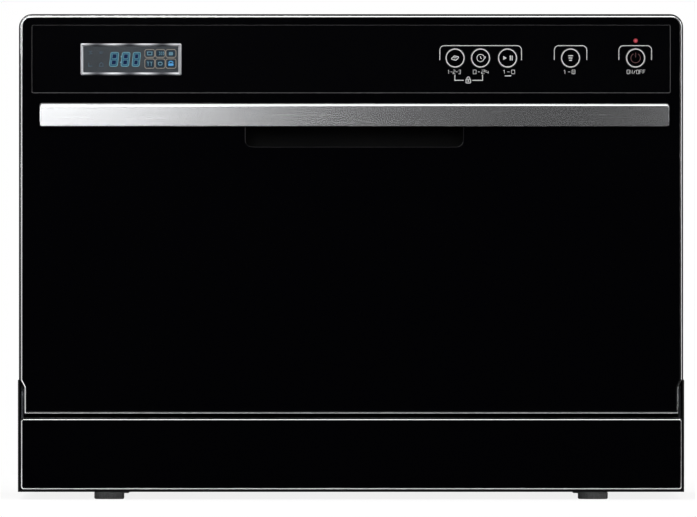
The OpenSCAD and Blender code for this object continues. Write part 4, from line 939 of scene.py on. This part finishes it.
class DISHWASHER_OT_rack(bpy.types.Operator):
    """Makes the rack and the cup shelf of bent round wire, and dresses the basket and wheels"""

    bl_idname = "dishwasher.rack"
    bl_label = "Rack"

    def execute(self, context):
        self.wires(context.scene.dishwasher_sizes.coat)
        # The shelf's pin stands lowest in X and highest in Z
        low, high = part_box("cup_shelf")
        pin_x, pin_z = low.x + PIN_RADIUS, high.z - PIN_RADIUS
        self.hangers(pin_x, pin_z)
        self.shelf(low, high, pin_x, pin_z)
        dress(("Basket polypropylene", 0.15, "cutlery_basket"),
              ("Moulded acetal", 0.6, "front_rack_wheels", "rear_rack_wheels"))
        return {"FINISHED"}

    def wires(self, r):
        low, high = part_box("rack_basket")
        x1, y0, y1, z0, z1 = high.x - r, low.y + r, high.y - r, low.z + r, high.z - r
        columns = between(-x1, x1, ACROSS)
        bm = bmesh.new()
        for x in columns:
            wire(bm, bent(((x, y0, z1), (x, y0, z0), (x, y1, z0), (x, y1, z1)), BEND), r)
        for y in between(y0, y1, ALONG):
            wire(bm, bent(((-x1, y, z1), (-x1, y, z0), (x1, y, z0), (x1, y, z1)), BEND), r)
        for z in (z0, *between(z0, z1, 3), z1):
            rim = [(x, y, z) for x, y in rect(-x1, x1, y0, y1, 9 * MM, 5)]
            wire(bm, rim, r, sides=10, closed=True)
        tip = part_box("rack_tines")[1].z - r
        for y in (low.y + 62 * MM, low.y + 118 * MM, 24 * MM, 80 * MM, high.y - 40 * MM):
            for x in columns[:TINES]:
                wire(bm, ((x, y, z0), (x, y, tip)), r - THINNER)
        new_piece("rack_wires", bm, "Nylon coated wire", "rack", "rack_nylon", ("rack_basket", "rack_tines"),
                  smooth=60)

    def hangers(self, pin_x, pin_z):
        """Moulded hangers that carry the axles, and the clips of the cup shelf."""
        half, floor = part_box("rack_basket")[1].x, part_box("rack_basket")[0].z
        bm = bmesh.new()
        for node in ("front_rack_wheels", "rear_rack_wheels"):
            low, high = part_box(node)
            y, z = (low.y + high.y) / 2, (low.z + high.z) / 2
            outline = [(y + a * MM, level + b * MM) for level, a, b in (
                (z, -7, -4), (z, -4, -7), (z, 4, -7), (z, 7, -4),
                (floor, 12, 1), (floor, 8, 12), (floor, -8, 12), (floor, -12, 1))]
            for side in (-1, 1):
                skin(bm, [[(side * x, a, b) for a, b in outline] for x in (half - 3.2 * MM, half)], caps=True)
                turned(bm, mm(*((r, side * out) for r, out in AXLE)), (side * half, y, z), "X", sides=24)
        for y in (-132 * MM, 126 * MM):
            turned(bm, mm((2.05, 0), (4.1, 0), (4.1, 6), (2.05, 6)), (pin_x, y, pin_z), "Y", sides=24,
                   closed=True)
            bar = [(y + a * MM, pin_z + b * MM) for a, b in ((0, -1.2), (6, -1.2), (6, 1.2), (0, 1.2))]
            skin(bm, [[(x, a, b) for a, b in bar] for x in (1 * MM - half, pin_x - 3 * MM)], caps=True)
        new_piece("rack_hangers", bm, "Moulded acetal", "rack", "grey_plastic", ("rack_brackets",),
                  radius=0.25 * MM)

    def shelf(self, low, high, pin_x, pin_z):
        r = SHELF_WIRE
        x0, x1, z = pin_x + 7 * MM + r, high.x - r, low.z + r
        y1 = SHELF_HALF - r
        bm = bmesh.new()
        wire(bm, [(x, y, z) for x, y in rect(x0, x1, -y1, y1, 8 * MM, 5)], r, closed=True)
        for y in between(-y1, y1, 8):
            wire(bm, ((x0, y, z), (x1, y, z)), r * CROSSING)
        for x in between(x0, x1, 3):
            wire(bm, ((x, -y1, z), (x, y1, z)), r * CROSSING)
        wire(bm, [(pin_x, y, pin_z) for y in (low.y + 2 * MM, high.y - 2 * MM)], PIN_RADIUS, sides=14)
        for y in (-100 * MM, 0, 100 * MM):
            wire(bm, ((pin_x, y, pin_z), (x0, y, z)), 1.4 * MM)
        new_piece("cup_shelf_wires", bm, "Nylon coated wire", "shelf", "rack_nylon", ("cup_shelf",),
                  smooth=60)


# ---- Door ----

DOOR_LOW, DOOR_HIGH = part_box("door_frame")
# The door's outline: corner radius, and the narrow foot with its slanted step
DOOR_RADIUS = 9 * MM
FOOT_INSET = 3 * MM
FOOT_HEIGHT = 22 * MM
FOOT_SLANT = 5.7 * MM


def door_line(inset, drop, aside):
    """The door's outline, drawn in by inset, let down by drop and moved aside, as points in X and Z."""
    half, top = DOOR_HIGH.x - inset, DOOR_HIGH.z - inset - drop
    foot, low = half - FOOT_INSET, DOOR_LOW.z + inset - drop
    r = DOOR_RADIUS - inset
    step = DOOR_LOW.z + FOOT_HEIGHT
    points = [(-foot, low), (foot, low), (foot, step), (half, step + FOOT_SLANT),
              *arc(half - r, top - r, r, 0, 90, 10), *arc(r - half, top - r, r, 90, 180, 10),
              (-half, step + FOOT_SLANT), (-foot, step)]
    return [(x + aside, z) for x, z in points]


class DISHWASHER_OT_door(bpy.types.Operator):
    """Dresses the door and makes its bright edge"""

    bl_idname = "dishwasher.door"
    bl_label = "Door"

    def execute(self, context):
        edge = context.scene.dishwasher_sizes.edge / MM
        dress(("Polished black ABS", edge / 2, "door_outer_panel"),
              ("Grained black polypropylene", edge, "door_frame"),
              ("Brushed stainless steel", 0.5, "door_inner_liner"),
              ("Grained polypropylene with painted shade", edge, "grip_pocket"),
              ("Zinc plated steel", 0.2, "door_screws"),
              ("Moulded acetal", 0.4, "dispenser_body", "dispenser_lid"),
              ("Glass filled nylon", 0.4, "rinse_aid_cap"))
        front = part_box("door_edge_trim")[0].y
        # Inset, drop, way aside and depth: a flat ledge, the bright slope and a flat inner edge
        profile = mm((0, 0, 0, 1.5), (0, 0, 0, 0.55), (0.36, 0.33, 0.25, 0.55), (0.92, 0.3, 0.5, 0),
                     (1.6, 0.2, 0.2, 0), (1.6, 0.2, 0.2, 1.5))
        skinned("door_bead", [at(door_line(*drawn), front + depth) for *drawn, depth in profile],
                "Bright anodised trim", "door", "bright_trim", ("door_edge_trim",), smooth=15)
        return {"FINISHED"}


class DISHWASHER_OT_handle(bpy.types.Operator):
    """Makes the brushed strip over the grip, with eased edges"""

    bl_idname = "dishwasher.handle"
    bl_label = "Handle strip"

    def execute(self, context):
        # The slope above is the wide one
        loops = stepped("handle_strip", (0, 0, 0, 0, 2, None), (0, 0, 0, 0.55, 2, 1.7),
                        (0.1, 0.1, 0.05, 1.25, 1.9, 0.75), (0.3, 0.3, 0.25, 1.75, 1.7, 0.3),
                        (0.5, 0.5, 0.5, 2.4, 1.5, 0), (0.8, 0.8, 0.7, 2.75, 1.2, 0))
        skinned("handle_brushed_strip", loops, "Brushed anodised aluminium", "door", "handle_metal",
                ("handle_strip",), caps=True, smooth=25)
        return {"FINISHED"}


# ---- Console ----

# How far printed marks reach into the face below them
SUNK = 0.05 * MM

# Strokes of the plain figures and signs, drawn in a box one wide and one high
STROKES = {
    "0": [[(0, 0), (0, 1), (1, 1), (1, 0), (0, 0)]],
    "1": [[(0.15, 0.75), (0.55, 1), (0.55, 0)]],
    "2": [[(0, 1), (1, 1), (1, 0.52), (0, 0.48), (0, 0), (1, 0)]],
    "3": [[(0, 1), (1, 1), (1, 0), (0, 0)], [(0.25, 0.5), (1, 0.5)]],
    "4": [[(0.1, 1), (0, 0.4), (1, 0.4)], [(0.8, 0.75), (0.8, 0)]],
    "8": [[(0, 0), (0, 1), (1, 1), (1, 0), (0, 0)], [(0, 0.5), (1, 0.5)]],
    "-": [[(0.1, 0.5), (0.9, 0.5)]],
    "/": [[(0.1, 0), (0.9, 1)]],
    "O": [[(0, 0), (0, 1), (1, 1), (1, 0), (0, 0)]],
    "N": [[(0, 0), (0, 1), (1, 0), (1, 1)]],
    "F": [[(0, 0), (0, 1), (1, 1)], [(0, 0.5), (0.8, 0.5)]],
}
# Foot and height of the marks, and a sign's share of its place
MARK_FOOT, MARK_HEIGHT, SIGN_SHARE = 351.4, 3.1, 0.7


class DISHWASHER_OT_console(bpy.types.Operator):
    """Dresses the console and prints the brackets and marks beside its buttons"""

    bl_idname = "dishwasher.console"
    bl_label = "Console"

    def execute(self, context):
        dress(("Back printed acrylic", 0, "console_panel"), ("Red lamp lens", 0.15, "status_lamp"))
        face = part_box("console_panel")[0].y
        bm = bmesh.new()
        pen = Pen(bm, face - context.scene.dishwasher_sizes.ink, face + SUNK)
        # Brackets round the groups of buttons
        top, foot, r = 374.6, 362.7, 3.6
        for x0, x1 in ((73.3, 140.7), (167.8, 194.6), (221.1, 248.1)):
            pen.line([(x0, foot), *arc(x0 + r, top - r, r, 180, 90, 6), *arc(x1 - r, top - r, r, 90, 0, 6),
                      (x1, foot)], 0.68)
        # The marks under the buttons
        for text, x0, x1 in (("1-2-3", 79.4, 90.7), ("0-24", 100.3, 114.2), ("1-0", 124.6, 135.6),
                             ("1-8", 174.6, 185.4), ("ON/OFF", 227.4, 243.2)):
            self.mark(pen, text, x0, x1)
        pen.line([(126.8, 349.7), (132.3, 349.7)], 0.8)
        # The lock that two buttons share
        pen.line([(85.7, 350.6), (85.7, 346), (93.1, 346)], 0.75)
        pen.line([(100.2, 346), (108.5, 346), (108.5, 350.6)], 0.75)
        pen = Pen(bm, pen.y0, pen.y1, 96.8, 346)
        pen.line(rect(-1.9, 1.9, -2.2, 0.9, 0.5, 3)[::-1], 0.7, closed=True)
        pen.line([(-1.2, 0.9), *arc(0, 1.6, 1.2, 180, 0, 8), (1.2, 0.9)], 0.6)
        pen.plate(arc(0, -0.6, 0.7, 0, 330, 11))
        new_piece("console_marks", bm, "Screen ink", "door", "bright_trim")
        self.seam()
        return {"FINISHED"}

    def mark(self, pen, text, x0, x1):
        step = (x1 - x0) / len(text)
        width = step * SIGN_SHARE
        for i, sign in enumerate(text):
            left = x0 + i * step + (step - width) / 2
            for stroke in STROKES[sign]:
                points = [(left + width * x, MARK_FOOT + MARK_HEIGHT * z) for x, z in stroke]
                closed = stroke[0] == stroke[-1]
                pen.line(points[:-1] if closed else points, 0.38, closed=closed)

    def seam(self):
        """Thin grey seal in the gap round the console, widest below, where the extra width paints the
        highlight of the lower edge catching the light.
        """
        low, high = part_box("console_panel")
        # The seen face of the console, 3 mm inside its solid's box
        x, z0, z1 = high.x - 3 * MM, low.z + 3 * MM, high.z - 3 * MM
        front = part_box("door_outer_panel")[0].y - 0.12 * MM
        back = front + 0.6 * MM
        outer = rect(-x - 0.4 * MM, x + 0.6 * MM, z0 - 0.75 * MM, z1 + 0.25 * MM, 1.4 * MM)
        inner = rect(-x, x, z0, z1, 1 * MM)
        skinned("console_seam", [at(inner, back), at(inner, front), at(outer, front), at(outer, back)],
                "Grey console seal", "door", "seal_rubber")


# The display's figures: foot, top, lean, the width of a stroke, and the gap between their two halves
FIGURE_FOOT, FIGURE_TOP, LEAN, STROKE, HALF_GAP = 357.5, 369.1, 0.11, 1.4, 0.65
# How far the lit lines stand out of the glass, in mm
LINE_OUT = 0.06


class DISHWASHER_OT_display(bpy.types.Operator):
    """Makes the display's bezel, its figures and its symbols"""

    bl_idname = "dishwasher.display"
    bl_label = "Display"

    def execute(self, context):
        dress(("Tinted polycarbonate", 0.1, "display_glass"))
        # A ridge, whose two slopes catch the light from above and from the sides. It is off the middle
        # by the little that the frame is wider on its right
        loops = stepped("display_bezel", (0, 0, 0, 0, 1, None), (0, 0, 0, 0, 1, 0.7),
                        (0.35, 0.8, 0.35, 0.35, 0.8775, 0.66), (0.9, 1.3, 0.9, 0.9, 0.685, 0.03),
                        (0.95, 1.35, 0.95, 0.95, 0.6675, 0), (1, 1.4, 1, 1, 0.65, 0.03),
                        (1.6, 2.1, 1.6, 1.6, 0.44, 0.62), (2.2, 2.6, 2.2, 2.2, 0.23, 0.66),
                        (2.2, 2.6, 2.2, 2.2, 0.23, None))
        skinned("display_surround", loops, "Stamped silver foil", "door", "bright_trim", ("display_bezel",))
        self.figures()
        self.symbols()
        return {"FINISHED"}

    def pen(self, bm, out, sunk=0.03, x=0.0, z=0.0):
        """A pen for marks that stand out of the glass and are sunk in it by so many mm."""
        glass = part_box("display_glass")[0].y
        return Pen(bm, glass - out * MM, glass + sunk * MM, x, z)

    def light(self, *pieces):
        for name, bm, finish in pieces:
            new_piece(name, bm, finish, "door", "display_lens")

    def figures(self):
        """Three leaning figures with a colon after the first."""
        body, outline, core = bmesh.new(), bmesh.new(), bmesh.new()
        middle = (FIGURE_FOOT + FIGURE_TOP) / 2

        def lay(points):
            return [(x + (z - FIGURE_FOOT) * LEAN, z) for x, z in points]

        for left, width in ((-199.5, 6.6), (-190, 6.4), (-180.9, 6)):
            right = left + width
            whole = lay(rect(left, right, FIGURE_FOOT, FIGURE_TOP, 1.4, 4))
            self.pen(body, 0.03, 0.05).plate(whole)
            self.pen(outline, LINE_OUT).line(whole, 0.55, closed=True)
            for z0, z1 in ((FIGURE_FOOT + STROKE, middle - HALF_GAP),
                           (middle + HALF_GAP, FIGURE_TOP - STROKE)):
                hole = lay(rect(left + STROKE, right - STROKE, z0, z1, 0.6, 3))
                self.pen(core, 0.05).plate(hole)
                self.pen(outline, 0.07).line(hole, 0.3, closed=True)
        for z in (360.9, 365.6):
            self.pen(outline, LINE_OUT).plate(arc(*lay([(-190.6, z)])[0], 0.55, 0, 330, 11))
        self.light(("figure_bodies", body, "Segment body"), ("figure_outlines", outline, "Lit segment"),
                   ("figure_cores", core, "Segment core"))

    def symbols(self):
        """Six loads in frames, the last of them lit, and four small signs."""
        frames, dark, dim, strokes, lit = (bmesh.new() for _ in range(5))
        loads = iter((self.pan, self.plates, self.cup, self.glasses, self.bowl, self.pot))
        for z, tall in ((368.2, 3.3), (359.8, 3.9)):
            for x, half in ((-166.2, 4.1), (-157.5, 4), (-148.7, 4.2)):
                load = next(loads)
                frame_line = rect(-half, half, -tall, tall, 1.8, 5)
                self.pen(frames, LINE_OUT, x=x, z=z).line(frame_line, 0.55, closed=True)
                self.pen(dark, 0.03, 0.05, x, z).plate(rect(1 - half, half - 1, 1 - tall, tall - 1, 1, 4))
                load(self.pen(lit if load == self.pot else strokes, LINE_OUT, x=x, z=z))
        for x, z, sign in ((-215, 368.8, self.salt), (-206.2, 368.8, self.rinse_aid),
                           (-215, 359.1, self.water), (-206.2, 359.1, self.door)):
            sign(self.pen(dim, LINE_OUT, x=x, z=z))
        self.light(("symbol_frames", frames, "Symbol outline"), ("symbol_cores", dark, "Symbol core"),
                   ("symbol_strokes", strokes, "Symbol stroke"), ("symbols_dim", dim, "Unlit segment"),
                   ("symbol_lit", lit, "Symbol lit"))

    def pan(self, pen):
        pen.line([(-1.8, 1.2), (-1.8, -1.2), (1.8, -1.2), (1.8, 1.2)], 0.7)
        pen.line([(-2.4, 1.2), (2.4, 1.2)], 0.6)

    def plates(self, pen):
        for x in (-1.6, 0, 1.6):
            pen.line(arc(x, 0, 1.5, -70, 70, 5), 0.5)

    def cup(self, pen):
        pen.plate(rect(-1.7, 1.7, -1.6, 1.2, 0.7, 3))

    def glasses(self, pen):
        for x in (-1.3, 1.3):
            pen.line([(x - 0.7, 1.8), (x, 0), (x + 0.7, 1.8)], 0.5)
            pen.line([(x, 0), (x, -1.8)], 0.5)

    def bowl(self, pen):
        pen.line(rect(-1.6, 1.6, -1.2, 1.2, 1, 3), 0.7, closed=True)

    def pot(self, pen):
        pen.plate(rect(-2.2, 2.2, -1.9, 0.2, 0.8, 3))
        pen.line(arc(0, 0, 1.9, 20, 160, 8), 0.9)

    def salt(self, pen):
        pen.line([(1.3, 1.2), (-1.2, 1), (1.2, -0.8), (-1.3, -1.2)], 0.55)

    def rinse_aid(self, pen):
        pen.line([(-1.7, 0.6), (1.7, 0.6)], 0.6)
        pen.line([(-1.7, -0.5), (1, -0.5)], 0.6)

    def water(self, pen):
        pen.line([(-1.6, 1.4), (-1.6, -1.4), (1.4, -1.4)], 0.7)

    def door(self, pen):
        pen.line([(-1.5, -1.5), (-1.5, 0.2), (0, 1.7), (1.5, 0.2), (1.5, -1.5)], 0.7, closed=True)


# Outer radius of the ring that is printed on a button, in mm
RING_RADIUS = 7.9


class DISHWASHER_OT_buttons(bpy.types.Operator):
    """Dresses the five buttons and prints a ring and a sign on each"""

    bl_idname = "dishwasher.buttons"
    bl_label = "Buttons"

    def execute(self, context):
        sizes = context.scene.dishwasher_sizes
        width = sizes.ring / MM
        for name, body, print_sign in (
            ("tablet_button", "tablet_key", self.tablet), ("delay_button", "delay_key", self.clock),
            ("start_button", "start_key", self.start_pause), ("programme_button", "programme_key", self.bars),
            ("power_button", "power_key", self.power),
        ):
            dress(("Polished black ABS", 0, name))
            low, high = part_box(name)
            x, z = (low.x + high.x) / 2 / MM, (low.z + high.z) / 2 / MM
            bm = bmesh.new()
            pen = Pen(bm, low.y - sizes.ink, low.y + SUNK, x, z)
            self.ring(pen, RING_RADIUS - width / 2, width)
            print_sign(pen)
            new_piece(name + "_print", bm, "Screen ink", body, "bright_trim")
        return {"FINISHED"}

    def ring(self, pen, r, width):
        pen.line(arc(0, 0, r, 0, 360, 48)[:-1], width, closed=True)

    def tablet(self, pen):
        """A tablet seen at a slant."""
        pen.line([(-2.9, -0.2), (-0.6, 1.7), (2.7, 1), (2.9, 0.2), (0.6, -1.8), (-2.7, -1)], 0.75,
                 closed=True)
        pen.line([(-1.2, 0.1), (1.2, 0.3)], 0.6)

    def clock(self, pen):
        self.ring(pen, 3, 0.6)
        pen.line([(0, 1.6), (0, 0), (1, -0.6)], 0.6)
        pen.plate(arc(3.4, 0.5, 1, 0, 330, 11))

    def start_pause(self, pen):
        pen.plate([(-3.6, -1.8), (-0.6, 0), (-3.6, 1.8)])
        for x in (2.3, 3.8):
            pen.plate([(x - 0.45, -2), (x + 0.45, -2), (x + 0.45, 2), (x - 0.45, 2)])

    def bars(self, pen):
        for z, half in ((1.9, 2), (0, 1.6), (-1.9, 1.2)):
            pen.line([(-half, z), (half, z)], 0.85)

    def power(self, pen):
        """The switch's sign, a piece of its own in red ink."""
        bm = bmesh.new()
        pen = Pen(bm, pen.y0, pen.y1, pen.x, pen.z)
        pen.line(arc(0, 0, 3.9, 118, 422, 48), 0.75)
        pen.line([(0, 4.6), (0, 0.4)], 0.75)
        new_piece("power_button_sign", bm, "Screen ink red", "power_key", "lamp_red")


# ---- Panel ----


class DISHWASHER_PT_panel(bpy.types.Panel):
    """The machine's sizes and colours, and the steps that make it"""

    bl_idname = "DISHWASHER_PT_panel"
    bl_label = "Countertop Dishwasher"
    bl_space_type = "VIEW_3D"
    bl_region_type = "UI"
    bl_category = "Dishwasher"

    def draw(self, context):
        scene = context.scene
        for title, group, kind in (("Colours", scene.dishwasher_colours, DishwasherColours),
                                   ("Sizes", scene.dishwasher_sizes, DishwasherSizes),
                                   ("Studio", scene.dishwasher_studio, DishwasherStudio)):
            box = self.layout.box()
            box.label(text=title)
            for name in kind.__annotations__:
                box.prop(group, name)
        for step in STEPS:
            self.layout.operator(step.bl_idname)


STEPS = (
    DISHWASHER_OT_finishes,
    DISHWASHER_OT_stage,
    DISHWASHER_OT_cabinet,
    DISHWASHER_OT_feet,
    DISHWASHER_OT_connections,
    DISHWASHER_OT_machinery,
    DISHWASHER_OT_tub,
    DISHWASHER_OT_spray_arm,
    DISHWASHER_OT_rack,
    DISHWASHER_OT_door,
    DISHWASHER_OT_handle,
    DISHWASHER_OT_console,
    DISHWASHER_OT_display,
    DISHWASHER_OT_buttons,
)
GROUPS = (DishwasherColours, DishwasherSizes, DishwasherStudio)


def register():
    for cls in (*GROUPS, *STEPS, DISHWASHER_PT_panel):
        bpy.utils.register_class(cls)
    bpy.types.Scene.dishwasher_colours = bpy.props.PointerProperty(type=DishwasherColours)
    bpy.types.Scene.dishwasher_sizes = bpy.props.PointerProperty(type=DishwasherSizes)
    bpy.types.Scene.dishwasher_studio = bpy.props.PointerProperty(type=DishwasherStudio)


def unregister():
    del bpy.types.Scene.dishwasher_studio
    del bpy.types.Scene.dishwasher_sizes
    del bpy.types.Scene.dishwasher_colours
    for cls in (DISHWASHER_PT_panel, *reversed(STEPS), *reversed(GROUPS)):
        bpy.utils.unregister_class(cls)


def main():
    register()
    bpy.ops.dishwasher.finishes()
    bpy.ops.dishwasher.stage()
    bpy.ops.dishwasher.cabinet()
    bpy.ops.dishwasher.feet()
    bpy.ops.dishwasher.connections()
    bpy.ops.dishwasher.machinery()
    bpy.ops.dishwasher.tub()
    bpy.ops.dishwasher.spray_arm()
    bpy.ops.dishwasher.rack()
    bpy.ops.dishwasher.door()
    bpy.ops.dishwasher.handle()
    bpy.ops.dishwasher.console()
    bpy.ops.dishwasher.display()
    bpy.ops.dishwasher.buttons()


if __name__ == "__main__":
    main()
